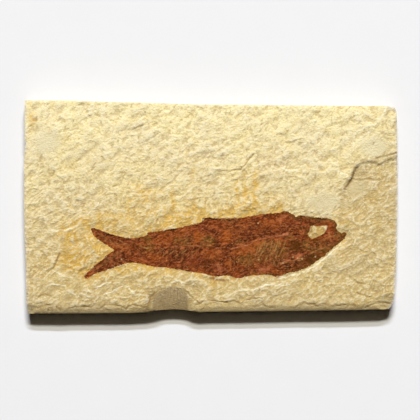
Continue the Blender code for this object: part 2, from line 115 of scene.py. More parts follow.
SCOOP_SOFT = 1.3
STEP_LINE = pairs([
    90.5, 26, 87.4, 23.9, 84, 23, 81.1, 21.3, 78.3, 22, 75.2, 22.5, 72.1, 22, 69.9, 20.3, 68.7, 18.2,
    67.3, 14.4, 65.6, 11.5, 63.9, 9.1, 62.5, 6.2])
STEP_CLOSE = [(66, -6), (78, -16), (92, -12)]
STEP_DROP = 0.95
STEP_TROUGH = 0.4
STEP_RISER = 1.9
STEP_SHELF = 5
STEP_FADE = 20
STEP_END_FADE = 9
STEP_SIDE_FADE = 7
STEP_STEEP = (67.6, 14, 4, 6.5)  # where the step is highest: middle and half sizes
SWELL = 0.3
SWELL_PERIODS = (46, 38)
GRAIN_ANGLE = math.radians(38)
LUMP = 0.4
LUMP_PERIODS = (9.5, 6)
PIT = 0.26
PIT_PERIODS = (5.6, 3.8)
RIDGES = marks([
    (0.4, 1.8, 9, -40, 30, -38.6, 47, -32.5, 60, -22.5, 67, -14), (0.35, 1.4, 45, 17.4, 57, 16.2, 69, 13.8),
    (0.35, 1.5, 72.5, 46, 81, 40.5), (0.3, 1.5, -72, -22, -74, -27, -78, -31),
    (0.35, 1.6, 0.5, 17.7, 14.6, 18.2, 20.4, 25)])
RIDGE_SHARE = 0.6
CALM = 0.85
CALM_PATCHES = [
    (78.8, 28.7, 7.5, 5.5, CALM), (54.4, 1.9, 10, 4.5, CALM), (-78, 31.1, 7, 6, CALM), (70, 9, 6, 4, CALM)]
QUIET_PATCHES = [
    (52, 12, 9, 8, 0.4), (2, 20, 9, 4, 0.4), (54, 36, 9, 7, 0.4), (-60, 18, 9, 6, 0.4),
    (76, -32, 16, 14, 0.16), (-60, 26, 28, 20, 0.14), (-66, -38, 20, 9, 0.22), (30, -42, 60, 8, 0.1)]

# ---- fish, as in part.py ----
FISH_BACK = pairs([
    -56.9, -10.3, -53.7, -10.5, -49.9, -12.1, -45.2, -13.5, -41.8, -14.4, -36.6, -15, -30.5, -13.4,
    -29.8, -12.1, -26, -11.6, -21.7, -11, -13.2, -9.5, -8.9, -8.4, -4.9, -7.4, -3.5, -6.3, -3.6, -5.2, -1.2, -5,
    4.7, -5.4, 8.9, -5.4, 15.3, -5, 23.9, -3.5, 32.4, -2.7, 35.4, -1.95, 37.5, -2.4, 40.1, -3.8, 40.9, -4.7])
FISH_HEAD = pairs([
    43.1, -3.85, 47.3, -4.55, 51.6, -4.9, 55, -5.1, 58, -5.9, 59.9, -7.1, 60.8, -8.6, 60.1, -9.9, 61.4, -11.6,
    62.9, -12.5, 64.1, -12, 65.2, -12.5, 65.1, -13.6])
FISH_BELLY = pairs([
    63.9, -15.2, 60.8, -18, 57.3, -20.9, 55.2, -23.1, 51.8, -25.2, 49.2, -27.2, 46.6, -28.9, 43.1, -30.3,
    40.9, -31, 37.9, -31.3, 34.5, -32.7, 31.1, -33.4, 28.6, -32.4, 21.7, -32.6, 17.5, -33.1, 13.2, -34,
    8.9, -32.8, 5.2, -33, 3.8, -33.4, 2.6, -33.1, 0.9, -33, -1, -32.4, -4.7, -31.6, -8.9, -31.2, -13.2, -30.2,
    -21.7, -28.8, -26, -28.7, -32.4, -27.4, -36.6, -26.5, -40.1, -26.9])
FISH_TAIL = pairs([
    -43.9, -28.2, -51.6, -30.8, -55.4, -32.1, -57.4, -33.3, -59.6, -34.2, -60.2, -33.1, -58.8, -31.2,
    -57, -30.1, -55.6, -28.4, -54, -26.8, -51.5, -25.1, -49, -22.6, -46.1, -20.7, -47.7, -19.3, -51, -17.3,
    -55.6, -13.9, -56.1, -12.7])
FISH_OUTLINE = FISH_BACK + FISH_HEAD + FISH_BELLY + FISH_TAIL
EYE = pairs([
    47.9, -9.6, 48.9, -8.9, 52, -9.2, 55, -8.8, 55.8, -9.1, 55.5, -10.4, 54.6, -12.2, 53, -13.2, 51.4, -14.2,
    48.8, -15, 47.6, -14.4, 46.6, -12.7, 47.3, -12, 47.6, -10.6])
BASIN = 0.45
BASIN_REACH = 4.5
SPINE = pairs([
    41.5, -12.6, 30.3, -14, 20.9, -16.1, 13.2, -18.5, 4.7, -18.2, -9.7, -19.6, -25.5, -20.1, -40.7, -20.3])
BONES = marks([
    (0.34, 1, 41, -7.1, 38, -12, 37.2, -17.5, 38.7, -22.5, 42, -26.3),
    (0.26, 0.9, 44.6, -8, 45, -13, 45.6, -18.5, 47.9, -23.6), (0.3, 0.9, 47.2, -23, 54, -20.2, 60.6, -15.6),
    (0.26, 0.8, 61.1, -12, 57.6, -14.2, 53.4, -18.4), (0.24, 0.8, 45.2, -6.6, 51, -6.8, 57.4, -7.4),
    (0.26, 0.9, 30.3, -29.6, 36.7, -26.7, 44.8, -25.1)])
TAIL_ROOT = (-40.5, -20.3)
TAIL_LOBES = [((-55.6, -11.2), (-48.4, -17.7)), ((-58, -32.4), (-48, -23.6))]

# ---- fine relief of the stone ----
FINE_ANGLE = math.radians(25)
WARP = 1
WARP_PERIOD = 6.5
LEDGE = 0.17  # steps of thin flakes: height, periods, steps per noise unit, riser share
LEDGE_PERIODS = (13, 7.5)
LEDGE_COUNT = 3.6
LEAF = 0.06
LEAF_PERIODS = (5.2, 3)
LEAF_COUNT = 2.4
RISER = 0.15
SCALY = 0.122
SCALY_PERIODS = (3.3, 2.4)
FACET_TILT = 1.5
FACET_SHARP = 14
GRAINY = 0.088
GRAINY_PERIODS = (1.7, 1.35)
CRUMB = 0.076
CRUMB_PERIODS = (1.1, 0.9)
LIP = 0.09
PIT_SEED = 8
PIT_COUNT = 210
PIT_FALL = 0.22
LIP_WIDTH = 0.085
CRACKS = marks([
    (0.35, 0.35, 0.4, 17.7, 8.5, 17.2, 14.6, 18.2, 15.8, 19.1, 18.5, 22.7, 20.4, 24.9),
    (0.4, 0.4, -77.6, -30.9, -74.5, -28.5, -73.9, -26.5, -71.8, -22), (0.4, 0.35, -36.9, 37.3, -32.1, 39.2),
    (0.35, 0.35, -23.5, 8.6, -19, 11.6, -13.5, 17.2),
    (0.36, 0.4, 67.8, 13.5, 71.5, 12.9, 75, 13.5, 79, 12.9, 82.1, 13.3), (0.4, 0.35, 58.2, -2.8, 62, 0)])
# Thin brown seams: edges of laminae along the lower side and elsewhere.
SEAMS = paths([
    (-82.5, -48, -78.5, -46.8, -73.7, -47.3, -71.8, -49.2), (-82.5, -43.2, -80.2, -41.8, -76.1, -42.3),
    (-68.2, -48.6, -63.5, -47.3, -57.5, -48, -55.1, -46.2),
    (-52.7, -48.6, -50.3, -46.2, -45.5, -46.8, -40.8, -48),
    (-40.3, -48.6, -37.2, -46.5, -33.6, -47.3, -30.7, -48), (-29.6, -46.2, -28.6, -43.6, -26.9, -41.1),
    (-13, -38.9, -7.8, -43.8, -4.9, -46.2), (-6.8, -46.8, -2.5, -44.9, 2.3, -44.7, 7.1, -45.4, 11.8, -44.9,
    16.1, -46.8), (15.4, -45.4, 19, -43.8, 25, -43.5), (20.2, -47.8, 25, -46.8, 31, -48.3),
    (41, -47.8, 44.1, -45.9, 48.2, -46.2, 51.3, -47.3),
    (53.7, -46.2, 58.4, -46.8, 62, -47.3, 65.6, -46.5, 69.2, -47.1),
    (74.4, -48, 78.8, -45.9, 83.1, -45.6, 85.9, -46.2), (79.2, 23.2, 81.1, 23.9, 85, 24.8, 89.2, 25.8),
    (-77.6, -30.9, -74.5, -28.5, -73.9, -26.5, -71.8, -22), (-36.9, 37.3, -32.1, 39.2),
    (4, 17.4, 8.5, 17.2, 14.6, 18.2, 15.8, 19.1, 18.5, 22.7, 20.4, 24.9), (66.2, -33, 70.5, -36.2, 74, -36.8),
    (70, -41, 76, -43)])
SEAM_FALL = 0.4
SEAM_HALF = 0.33
# Thin raised edges of flakes, also painted pale as a painted highlight.
CRESTS = paths([
    (84, 47.6, 83, 44, 80, 41.6, 78.8, 39.2, 74.4, 38.7, 72.1, 36.8, 69.2, 35.6), (69.2, 35.6, 68, 28.5),
    (76.4, 36.4, 74, 34, 71.6, 33.2), (85.4, 44, 81.6, 42.1, 79.2, 41.1), (57.2, 18.2, 60.8, 17.7, 65.6, 14.8),
    (-83.4, -11, -71.4, -11.3, -66, -10.6), (-77.4, -23.8, -73.3, -23.4),
    (-75, -30.2, -70.5, -32.8, -65.6, -33.9), (-76.3, -36.9, -73.3, -36.9, -69.1, -37.9),
    (-68, -39.6, -64.3, -42), (-61.6, -41, -58.2, -42.7),
    (-58.2, -40, -55.4, -40.3, -53.7, -38.2, -50, -36.6, -47.3, -35.8), (-50.8, -41.6, -47, -40.3, -43.8, -39),
    (-46.5, -41.3, -41.8, -37.6, -39, -38.2, -36.3, -41.7, -29.5, -42.4),
    (-61.6, -3.5, -58.9, -3.5, -54.1, 0.6, -53.4, 2), (9, -42, 14, -39.6, 20, -39.6, 27, -37, 38, -37.4),
    (30, -34.6, 38, -33, 44, -31.4, 51, -27.6, 57, -22.6, 62.5, -17.6), (-19.5, -37, -16, -35, -13, -36.2),
    (34, 19, 38, 17, 42, 17.5)])
CREST_RISE = 0.15
CREST_HALF = 0.28

TONE_FOOT = 38  # the face is painted paler from its lower edge to its upper edge, partly the stone's own tone and partly painted light from above
TONE_SPAN = 86

BED_DROP = 0.95  # stone under the fish, below the fish's own rim
BED_RUN = 0.8

# ---- fine features of the fish ----
BEAD = 2.1
EYE_CENTRE = (51.4, -11.6)
SCALES = 0.09
SCALE_PERIODS = (1.9, 1.35)
RIBS = 15
RIB_START = 36.2
RIB_PITCH = 1.35
RIB_LEAN = 3.4
RIB_LENGTH = 11.5
RIB_PATCH = (29.5, -21, 8, 6.5, 1)
RAYS = 9
BODY_ANGLE = math.radians(14)
STROKE_ANGLE = math.radians(50)
STROKED = [
    (-18, -21.5, 9, 3.4, 1), (-30, -19, 4, 3, 0.7), (30, -21.5, 7, 6, 0.7), (13, -28, 11, 4.5, 0.8),
    (-5, -24, 7, 4, 0.5)]
# Colour patches of the fish: (x, y, half width, half height, strength).
OLIVE = [
    (-13.3, -16.2, 5, 2.6, 0.6), (-0.8, -16, 3.2, 3, 0.9), (29.6, -21.5, 7.5, 5.6, 0.85),
    (18, -25.2, 6, 3, 0.65), (45.8, -18.2, 1.7, 3, 0.95), (47.4, -24.8, 2.4, 2.8, 0.5),
    (52.5, -17.5, 4.5, 2.2, 0.5), (-29, -19.6, 3.2, 2.6, 0.75), (-30.5, -15, 2.6, 1.6, 0.7),
    (62.3, -13.9, 2.8, 2, 0.9), (52, -20.3, 5, 1.8, 0.6), (44, -25, 3, 2.4, 0.5), (14, -16.6, 3, 1.2, 0.7),
    (38, -14.5, 2.4, 1.8, 0.5), (24, -32, 7, 1.2, 0.5)]
ORANGE = [
    (-24.1, -16.2, 4.6, 2.4, 0.35), (29.2, -8.4, 6.5, 2.6, 0.35), (26.3, -28.7, 9, 2, 0.35),
    (12, -8.8, 6, 2.4, 0.25), (-6.3, -14.6, 2.8, 2.8, 0.9), (8, -13.4, 2.4, 4, 0.95),
    (16.9, -20.8, 5.6, 2.4, 0.8), (-24, -24, 5, 2.2, 0.7), (23.5, -17.8, 5, 1.7, 0.85),
    (31.5, -15.6, 5, 0.9, 0.8), (42.6, -23.5, 2.8, 1.3, 0.9), (9, -27.5, 2.2, 3, 0.6),
    (-20, -12, 8, 1.6, 0.5), (-40.5, -19, 4.5, 1.8, 0.55), (57, -11, 1.8, 4, 0.8),
    (53.5, -17.5, 2.6, 2.2, 0.5), (30.5, -29.8, 4, 1.5, 0.6), (33, -6, 4, 2, 0.4), (1, -22, 5, 2.5, 0.5),
    (42, -10.5, 3, 1.4, 0.3)]
ROSE = [
    (42.4, -23.4, 3, 1.6, 1), (57, -13.6, 2.3, 4.2, 0.9), (37, -6, 6, 1.6, 0.4), (25.5, -29.9, 4.8, 1.7, 0.8),
    (4, -28.9, 3.6, 2.2, 0.7), (-8, -25.6, 4, 2, 0.5), (57.7, -6.2, 2.2, 0.7, 0.8),
    (-41, -17.4, 3.8, 1.6, 0.8), (30, -14.6, 6, 0.9, 0.6), (-2, -10.4, 6, 1.6, 0.4),
    (44.5, -11.5, 1.6, 3, 0.5), (-56, -28.6, 2, 1.6, 0.6)]
MAROON = [
    (-19.2, -22.4, 9, 3, 0.35), (17, -20.8, 5, 2.2, 0.25), (-51, -12.4, 3.6, 1.5, 0.9),
    (-46.5, -14.4, 3.2, 1.8, 0.9), (-43, -16.6, 2.2, 1.6, 0.5), (-43.5, -22.6, 3.4, 2.2, 0.8),
    (-48, -25.4, 3.2, 2.2, 0.9), (-53, -29, 3.2, 2.2, 0.8), (22, -8, 13, 3.4, 0.1), (8, -30.5, 7, 2.6, 0.42),
    (-5.5, -24.5, 5, 3, 0.6), (-17, -21, 8, 3.6, 0.9), (4, -20.5, 6, 2, 0.5), (28, -24, 8, 5, 0.5),
    (-22, -26.6, 10, 1.6, 0.6), (-35, -23, 5, 2.6, 0.5), (6, -9, 8, 2, 0.4), (20, -12.4, 8, 1.6, 0.4)]
DARK = [
    (30.5, -21, 6, 5, 0.32), (42.5, -25, 5, 3, 0.2), (46, -13, 2.6, 4, 0.3), (-19.2, -23.6, 8, 2.4, 0.18),
    (-14, -22.6, 4, 3.6, 0.75), (2, -26.5, 5, 3.2, 0.6), (37.6, -28.4, 7.4, 2.6, 0.85),
    (40.6, -18.4, 3.3, 3.4, 1.25), (47.4, -24.8, 3.2, 3.2, 1.6), (51.5, -19.6, 5.5, 3.4, 0.65),
    (57.5, -17, 3.4, 2.4, 0.6), (62.4, -14.4, 2.6, 1.6, 0.45), (50.6, -5.7, 9, 1.1, 1),
    (-35, -18.4, 4.6, 2.8, 0.7), (-47, -26.6, 6, 3, 0.6), (-50, -14.6, 6, 2, 0.4), (41, -9.8, 3.4, 2.2, 0.6),
    (60.2, -9.2, 1.6, 2, 0.7), (11.5, -10, 6, 2.4, 0.35), (4, -5.8, 9, 0.9, 0.9), (18, -29.8, 7, 2.4, 0.5),
    (-9, -29, 8, 1.6, 0.4), (46.5, -11.5, 1.5, 3, 0.6), (26, -10, 5, 2.4, 0.3)]
PINK_LINES = marks([
    (0.95, 0.28, 37.2, -13.3, 31.8, -13.9, 29.6, -14.2, 24.4, -15.3, 21.2, -16.2, 19.2, -17.7, 13.1, -19.2,
    9.5, -20.2), (0.9, 0.35, 34.4, -13.1, 37.2, -12.6), (0.4, 0.7, 40, -23.4, 43.6, -23),
    (0.6, 0.4, 33.6, -26.9, 38, -25.2), (0.5, 0.6, 36, -4.4, 33, -6.4), (0.6, 0.6, 23.5, -29.8, 28, -29.4),
    (0.6, 0.8, 3.6, -27.4, 4.6, -30.4)])
PALE_LINES = marks([
    (0.9, 0.35, 41.8, -24.2, 44.2, -24.8), (0.55, 0.28, 47.7, -22.4, 51.5, -20.5, 55.3, -19.1, 58.7, -17.2),
    (0.6, 0.3, 56.6, -12, 57.8, -15.4), (0.5, 0.28, 54.6, -15.2, 59.6, -13.4),
    (0.9, 0.45, 40.6, -3.9, 42.4, -4.3), (0.7, 0.35, 56.4, -6.1, 59, -6.9), (0.5, 0.35, 60.6, -11.9, 63.2, -13),
    (0.4, 0.28, 43.8, -9.4, 45, -13.4), (0.6, 0.24, -44.2, -15.6, -38.6, -18.4),
    (0.5, 0.24, -44.8, -17.2, -39.4, -18.9), (0.5, 0.24, -25.8, -22.4, -21.4, -19.6),
    (0.5, 0.24, -23, -23.4, -18.2, -20.2), (0.6, 0.24, -19.6, -22.6, -15, -19.4),
    (0.5, 0.24, -17, -23.8, -12.4, -20.4), (0.5, 0.24, -13.6, -22.2, -10, -19.4),
    (0.45, 0.24, -9, -22, -4.6, -19.2), (0.45, 0.26, -20.4, -18.9, -12, -18.3, -4, -18.8),
    (0.9, 0.28, -34.8, -18.3, -33, -18.6, -30.2, -19.8), (0.35, 0.28, 6.1, -7.1, 13.7, -7.2),
    (0.35, 0.3, 48.2, -19.4, 52, -20, 56, -21.3), (0.3, 0.3, 47.6, -21, 53, -21.4, 58, -18.6),
    (0.45, 0.28, 32.4, -27.4, 38.5, -26.2, 44, -24), (0.25, 0.3, 45, -5.3, 52, -6, 58, -6.9)])
SPECKS = pairs([
    22.9, -7.7, 34.8, -26.7, 50.3, -23.7, 41.8, -24.4, 43.9, -24.7, 23.2, -25.2, -42.4, -25, 39.6, -24])
SPECK_SIZE = 0.36
PLAIN = [(40.7, -18.5, 3, 3.2, 0.95), (47.2, -25.6, 2.4, 2.6, 0.8)]
DARK_LINES = marks([
    (1, 0.5, -3.4, -5, -1, -5.3, 6, -5.9), (1.1, 0.5, 28.5, -13, 23.5, -14.1, 19.2, -15.9, 14.9, -16.9,
    10.5, -18.2, 6.6, -18.8), (0.8, 0.4, 28.5, -30, 36.7, -27.5, 42.9, -25.1, 45, -24.6),
    (0.8, 0.4, -3, -5.6, 6, -5.4, 14.2, -5.5), (0.6, 0.4, 46.3, -14.8, 50, -16.6, 56.8, -13.6, 60, -12.4),
    (0.5, 0.45, 43.4, -7, 43.6, -12, 44.2, -17, 46.4, -22.6), (0.6, 0.35, 58.6, -15.4, 54, -18.4, 50.5, -18.2)])
BORDER_WIDTH = 1.5  # olive brown border of the head
BORDER_START = 30
BROWN_LINES = marks([
    (0.8, 0.7, 46.4, -9.4, 46, -12.6, 48, -15.8, 52, -15.8), (0.8, 0.6, 47.6, -8.4, 51.5, -7.9, 55.4, -8.1),
    (0.7, 1.2, 57.6, -19, 53, -21.6, 49, -23.6)])
FISH_SINK = 0.05
RIM_RISE = 0.03  # the fish's edge stands this much proud of the stone

# ---- colours ----
# Ochre iron stains on the face: (x, y, half width, half height, strength).
STAINS = [
    (-18, -3, 2.6, 6, 0.4), (-59, -12.5, 4.5, 3.5, 0.3), (-64.2, -25.3, 4.6, 5.5, 1.1), (-67.5, -13, 5, 6, 1),
    (-52.5, -20, 5, 4, 0.7), (-52.2, -6.2, 10, 4, 0.55), (-32.1, 6.7, 7, 4, 0.65), (-16.8, -7.1, 9, 4, 0.6),
    (-7.3, -2.4, 4, 6, 0.6), (15.7, -1.9, 8, 3.5, 1), (18, 8.6, 5, 8, 0.25), (30.9, 0, 3.5, 5, 0.7),
    (36.7, -3.8, 4, 3, 0.7), (63, -6.2, 4, 4, 0.45), (62, -18.1, 3, 5, 0.5), (78.8, 4.8, 5, 3, 0.15),
    (-71.8, -25.3, 7, 4, 0.65), (-56, -32, 5, 3, 0.7), (-42, -28, 8, 3, 0.55), (3, -36.5, 4, 2.4, 0.35),
    (10.5, -35, 4, 1.6, 0.15), (51, -12, 6, 4, 0.7), (-84.9, 42.2, 2, 2.8, 0.7), (-85.5, 38, 1.6, 2, 0.3),
    (12.4, 7, 1.1, 7, 0.9), (16.6, 6, 1, 9, 0.9), (21.6, 9, 1.3, 7.5, 1), (-18.2, 4, 1.2, 4, 0.5),
    (-38.2, -2, 1.5, 5, 0.4), (-10, -20, 60, 22, 0.25), (-33, -3.4, 10, 5.5, 0.34), (3.6, -5.6, 8, 3.5, 0.36),
    (-8.2, 18, 5, 9, 0.2), (27.5, 22.5, 5, 8, 0.22)]
# Reddish brown smudges on the stone beside the fish: (line, strength, half width).
SMUDGES = marks([
    (1, 1.25, -58.9, -32.9, -58.3, -32.6), (0.5, 0.7, -26.9, -10.9, -22, -11, -17.3, -11.2),
    (1.1, 0.75, 0.4, -33.7, 3, -34.6, 6.6, -34.9), (0.6, 0.7, 10, -33.6, 13.6, -34.2),
    (0.6, 0.35, -51.2, -9.4, -48.8, -10.9), (0.55, 1.3, -85.2, 42.6, -83.6, 42.2),
    (0.35, 0.9, -84.6, 37.4, -84.3, 37.2), (0.8, 0.4, -10.4, 15.8, -10.2, 15.8),
    (0.35, 0.7, -44, -27.9, -52, -31.2), (0.35, 0.6, -38, -14.3, -30.6, -13.6)])
# Painted shade, soft and brown, at the foot of the step, in the scoop's left flank and along the hem.
SHADES = marks([
    (1, 1.9, -30.4, -49.6, -29.4, -44.6, -27.4, -41.2), (0.35, 1.6, -80, -47.6, -60, -48.2, -34, -48.4),
    (1, 1.2, 70.1, 20, 69, 17.8, 67.7, 14, 66, 11.1, 64.3, 8.8), (0.6, 0.8, 72, 22.6, 76, 22.6, 81, 21.6),
    (0.5, 0.8, 79.2, 23.2, 85, 24.8, 89, 25.8),
    (0.45, 0.6, 71.5, 12.8, 75, 13.3, 81, 13)]) + [(STEP_LINE, 0.5, 1)]
# Scales of the painted shade in hollows and painted highlight on raised bits of the relief.
RELIEF_SHADING_SCALE = 0.12
FINE_SHADING_SCALE = 0.035
# The stone's tints at the foot and at the top of the face, the upper ones paler partly as painted light: cream,
# greyer, ochre, bare and stained.
STONE_TINTS = [((0.65, 0.5, 0.224), (0.995, 0.88, 0.5)), ((0.6, 0.475, 0.255), (0.92, 0.81, 0.54)),
               ((0.62, 0.43, 0.14), (0.92, 0.745, 0.335)), ((0.64, 0.545, 0.325), (0.87, 0.8, 0.56)),
               ((0.62, 0.38, 0.072), (0.89, 0.6, 0.16))]
# What is laid over them, and over the fish's base colour: (attribute, factor, tint).
# Of these, the darkening along the lower edge and the soft brown lines are painted shade.
STONE_PAINTS = [("eye", 1, (0.61, 0.4, 0.115)), ("ring", 0.8, (0.3, 0.17, 0.045)),
                ("pit", 0.45, (0.33, 0.21, 0.075)), ("shade", 0.8, (0.28, 0.175, 0.058)),
                ("hem", 0.45, (0.54, 0.415, 0.225)), ("smudge", 0.85, (0.26, 0.085, 0.022))]
FISH_STAINS = [("orange", 0.88, (0.41, 0.098, 0.012)), ("olive", 0.92, (0.19, 0.108, 0.022)),
               ("rose", 0.8, (0.33, 0.066, 0.026)), ("maroon", 0.88, (0.105, 0.019, 0.007)),
               ("dark", 0.8, (0.062, 0.018, 0.004))]
FISH_PAINTS = [("pink", 0.9, (0.64, 0.235, 0.105)), ("pale", 0.9, (0.5, 0.255, 0.08)),
               ("border", 0.9, (0.118, 0.052, 0.007)), ("plain", 0.8, (0.095, 0.032, 0.004)),
               ("speck", 0.8, (0.72, 0.5, 0.25))]
STONE_BUMP = 0.00042  # metres
FISH_BUMP = 0.00055

# ---- mesh density ----
COLUMN_STEP = 0.45
ROW_STEP = 0.46
SIDE_ROWS = 6
BACK_STEP = 4
FISH_STEP = 0.3
BACK_MARGIN = 6
FISH_SKIRT = 1  # the fish's edge goes this far down into its bed
STONE_SHARP = 52  # degrees between faces from which an edge is sharp
FISH_SHARP = 60

# ---- view and light ----
IMAGE_SIDE = 420
MM_PER_PIXEL = 0.478
VIEW_CENTRE = (-0.1, -1.4)
CAMERA_HEIGHT = 1.6
SENSOR = 36
LIGHT_DISTANCE = 8
# Name, azimuth, elevation, size, watts and colour.
LIGHTS = [("key", 2.5, 59, (2, 0.76), 487, (1, 0.945, 0.8)),
          ("second", 2.5, 50, (2, 0.3), 386, (0.845, 0.897, 1)),
          ("overhead", 0, 74, (1.6, 3.52), 32, (1, 0.76, 0.45))]
AIR_COLOUR = (1, 0.72, 0.45, 1)
AIR_STRENGTH = 0.002


# ---- plan geometry ----
def resample(line, step):
    points = []
    for (ax, ay), (bx, by) in zip(line[:-1], line[1:]):
        parts = max(1, math.ceil(math.hypot(bx - ax, by - ay) / step))
        points += [(ax + (bx - ax) * k / parts, ay + (by - ay) * k / parts) for k in range(parts)]
    return points + [line[-1]]


def curve_through(line, parts, closed=False):
    """A smooth Catmull-Rom curve through the points of a line."""
    line = list(line)
    ends = [line[-1]] + line + line[:2] if closed else [line[0]] + line + [line[-1]]
    points = []
    for knots in zip(ends[:-3], ends[1:-2], ends[2:-1], ends[3:]):
        for k in range(parts):
            t = k / parts
            blend = (-0.5 * t + t * t - 0.5 * t ** 3, 1 - 2.5 * t * t + 1.5 * t ** 3,
                     0.5 * t + 2 * t * t - 1.5 * t ** 3, -0.5 * t * t + 0.5 * t ** 3)
            points.append(tuple(sum(b * p[axis] for b, p in zip(blend, knots)) for axis in (0, 1)))
    return points if closed else points + [tuple(line[-1])]


def line_place(x, y, line):
    """For each point: distance to an open line, signed distance (left is plus) and length along it."""
    best = np.full(np.shape(x), np.inf)
    signed, run = np.zeros(np.shape(x)), np.zeros(np.shape(x))
    start = 0
    for (ax, ay), (bx, by) in zip(line[:-1], line[1:]):
        dx, dy = bx - ax, by - ay
        length = math.hypot(dx, dy) + TINY
        along = np.clip(((x - ax) * dx + (y - ay) * dy) / length ** 2, 0, 1)
        away = np.hypot(x - ax - along * dx, y - ay - along * dy)
        side = np.sign(dx * (y - ay) - dy * (x - ax))
        closer = away < best
        best = np.where(closer, away, best)
        signed = np.where(closer, away * side, signed)
        run = np.where(closer, start + along * length, run)
        start += length
    return best, signed, run


def line_distance(x, y, line):
    return line_place(x, y, line)[0]


def loop_distance(x, y, loop):
    return line_distance(x, y, loop + loop[:1])


def inside(x, y, loop):
    found = np.zeros(np.shape(x), dtype=bool)
    for (ax, ay), (bx, by) in zip(loop, loop[1:] + loop[:1]):
        if ay == by:
            continue
        crosses = (ay > y) != (by > y)
        found ^= crosses & (x < (bx - ax) * (y - ay) / (by - ay) + ax)
    return found


def in_fish(x, y, outline, eye):
    return inside(x, y, outline) & ~inside(x, y, eye)


def turned(x, y, angle):
    """Lengths along and across a direction."""
    return x * math.cos(angle) + y * math.sin(angle), y * math.cos(angle) - x * math.sin(angle)


NOTCH_LINE = curve_through(NOTCH_ARC, 3)


# ---- fields ----
def smooth(value):
    t = np.clip(value, 0, 1)
    return t * t * (3 - 2 * t)


def bell(value):
    return np.exp(-value ** 2)


def ellipse(x, y, cx, cy, rx, ry):
    """Squared distance from a middle, 1 on the ellipse."""
    return ((x - cx) / rx) ** 2 + ((y - cy) / ry) ** 2


def hashed(left, low, seed):
    """One number from 0 to 1 for each cell of a lattice."""
    code = left.astype(np.int64) * 374761393 + low.astype(np.int64) * 668265263
    code = (code + seed * 144665) & 0xFFFFFFFF
    code = ((code ^ (code >> 13)) * 1274126177) & 0xFFFFFFFF
    return (code ^ (code >> 16)) / 2 ** 32


def noise(x, y, seed):
    """Smooth noise of about -1 to 1 with a period of one unit, from hashed lattice slopes."""
    left, low = np.floor(x), np.floor(y)
    u, v = x - left, y - low

    def corner(du, dv):
        angle = hashed(left + du, low + dv, seed) * (2 * math.pi)
        return np.cos(angle) * (u - du) + np.sin(angle) * (v - dv)

    fade_u = u * u * u * (u * (6 * u - 15) + 10)
    fade_v = v * v * v * (v * (6 * v - 15) + 10)
    lower = corner(0, 0) + fade_u * (corner(1, 0) - corner(0, 0))
    upper = corner(0, 1) + fade_u * (corner(1, 1) - corner(0, 1))
    return 1.5 * (lower + fade_v * (upper - lower))


def grain_noise(x, y, periods, seed, angle=GRAIN_ANGLE):
    along, across = turned(x, y, angle)
    return noise(along / periods[0], across / periods[1], seed)


def fine_noise(x, y, periods, seed):
    return grain_noise(x, y, periods, seed, FINE_ANGLE)


def warped(x, y, reach, periods, seed):
    """The points pushed about by smooth noise."""
    u, v = x / periods[0], y / periods[1]
    return x + reach * noise(u, v, seed), y + reach * noise(u, v, seed + 1)


def facets(x, y, size, seed):
    """Little planes of broken stone, each with its own height and tilt, meeting at soft edges."""
    u, v = turned(x, y, FINE_ANGLE)
    u, v = u / size[0], v / size[1]
    left, low = np.floor(u), np.floor(v)
    total, weight = np.zeros(np.shape(x)), np.zeros(np.shape(x))
    for du in (-1, 0, 1):
        for dv in (-1, 0, 1):
            dice = [hashed(left + du, low + dv, seed + 31 * turn) for turn in range(4)]
            across = u - left - du - dice[0]
            up = v - low - dv - dice[1]
            angle = 2 * math.pi * dice[2]
            plane = 0.9 * (dice[3] - 0.5) + FACET_TILT * (across * np.cos(angle) + up * np.sin(angle))
            share = np.exp(-FACET_SHARP * (across ** 2 + up ** 2))
            total += share * plane
            weight += share
    return total / (weight + 1e-12)


def steps_of(value):
    """A saw of steep little risers and long gentle treads, from 0 to 1."""
    part = value - np.floor(value)
    return smooth(part / RISER) - part


def blobs(x, y, patches):
    """Flat-topped patches: (x, y, half width, half height, strength)."""
    return sum(strength * bell(ellipse(x, y, *place)) for *place, strength in patches)


def smoothed(x, y, patches):
    """1 on rough stone, less by each patch's last value inside it."""
    rough = np.ones(np.shape(x))
    for *place, share in patches:
        rough *= 1 - share * bell(ellipse(x, y, *place))
    return rough


def strokes(x, y, lines):
    """Soft lines: (line, strength, half width)."""
    total = np.zeros(np.shape(x))
    for line, strength, half in lines:
        total = np.maximum(total, strength * bell(line_distance(x, y, line) / half))
    return total


def line_field(x, y, lines, half):
    """1 on wavering thin lines, falling to 0 beside them."""
    wx, wy = warped(x, y, 0.5, (2.2, 2.2), 37)
    total = strokes(wx, wy, [(line, 1, half) for line in lines])
    return total * np.clip(0.85 + 0.9 * noise(x / 3, y / 3, 39), 0.15, 1.2)


# ---- relief of the stone ----
def above_bottom(x, y):
    """Height in plan above the straight line of the lower saw cut."""
    (ax, ay), (bx, by) = BOTTOM_EDGE[0], BOTTOM_EDGE[-1]
    return y - (ay + (by - ay) * (x - ax) / (bx - ax))


def bedding_level(x, y):
    swell = SWELL * noise(x / SWELL_PERIODS[0], y / SWELL_PERIODS[1], 1)
    away = np.where(inside(x, y, FISH_OUTLINE), 0, loop_distance(x, y, FISH_OUTLINE))
    return swell - BASIN * (1 - smooth(away / BASIN_REACH))


def calmness(x, y):
    return smoothed(x, y, CALM_PATCHES)


def face_lumps(x, y):
    lumps = LUMP * grain_noise(x, y, LUMP_PERIODS, 2) + PIT * grain_noise(x, y, PIT_PERIODS, 3)
    return lumps * calmness(x, y)


def face_ridges(x, y):
    return sum(RIDGE_SHARE * rise * bell(line_distance(x, y, line) / half) for line, rise, half in RIDGES)


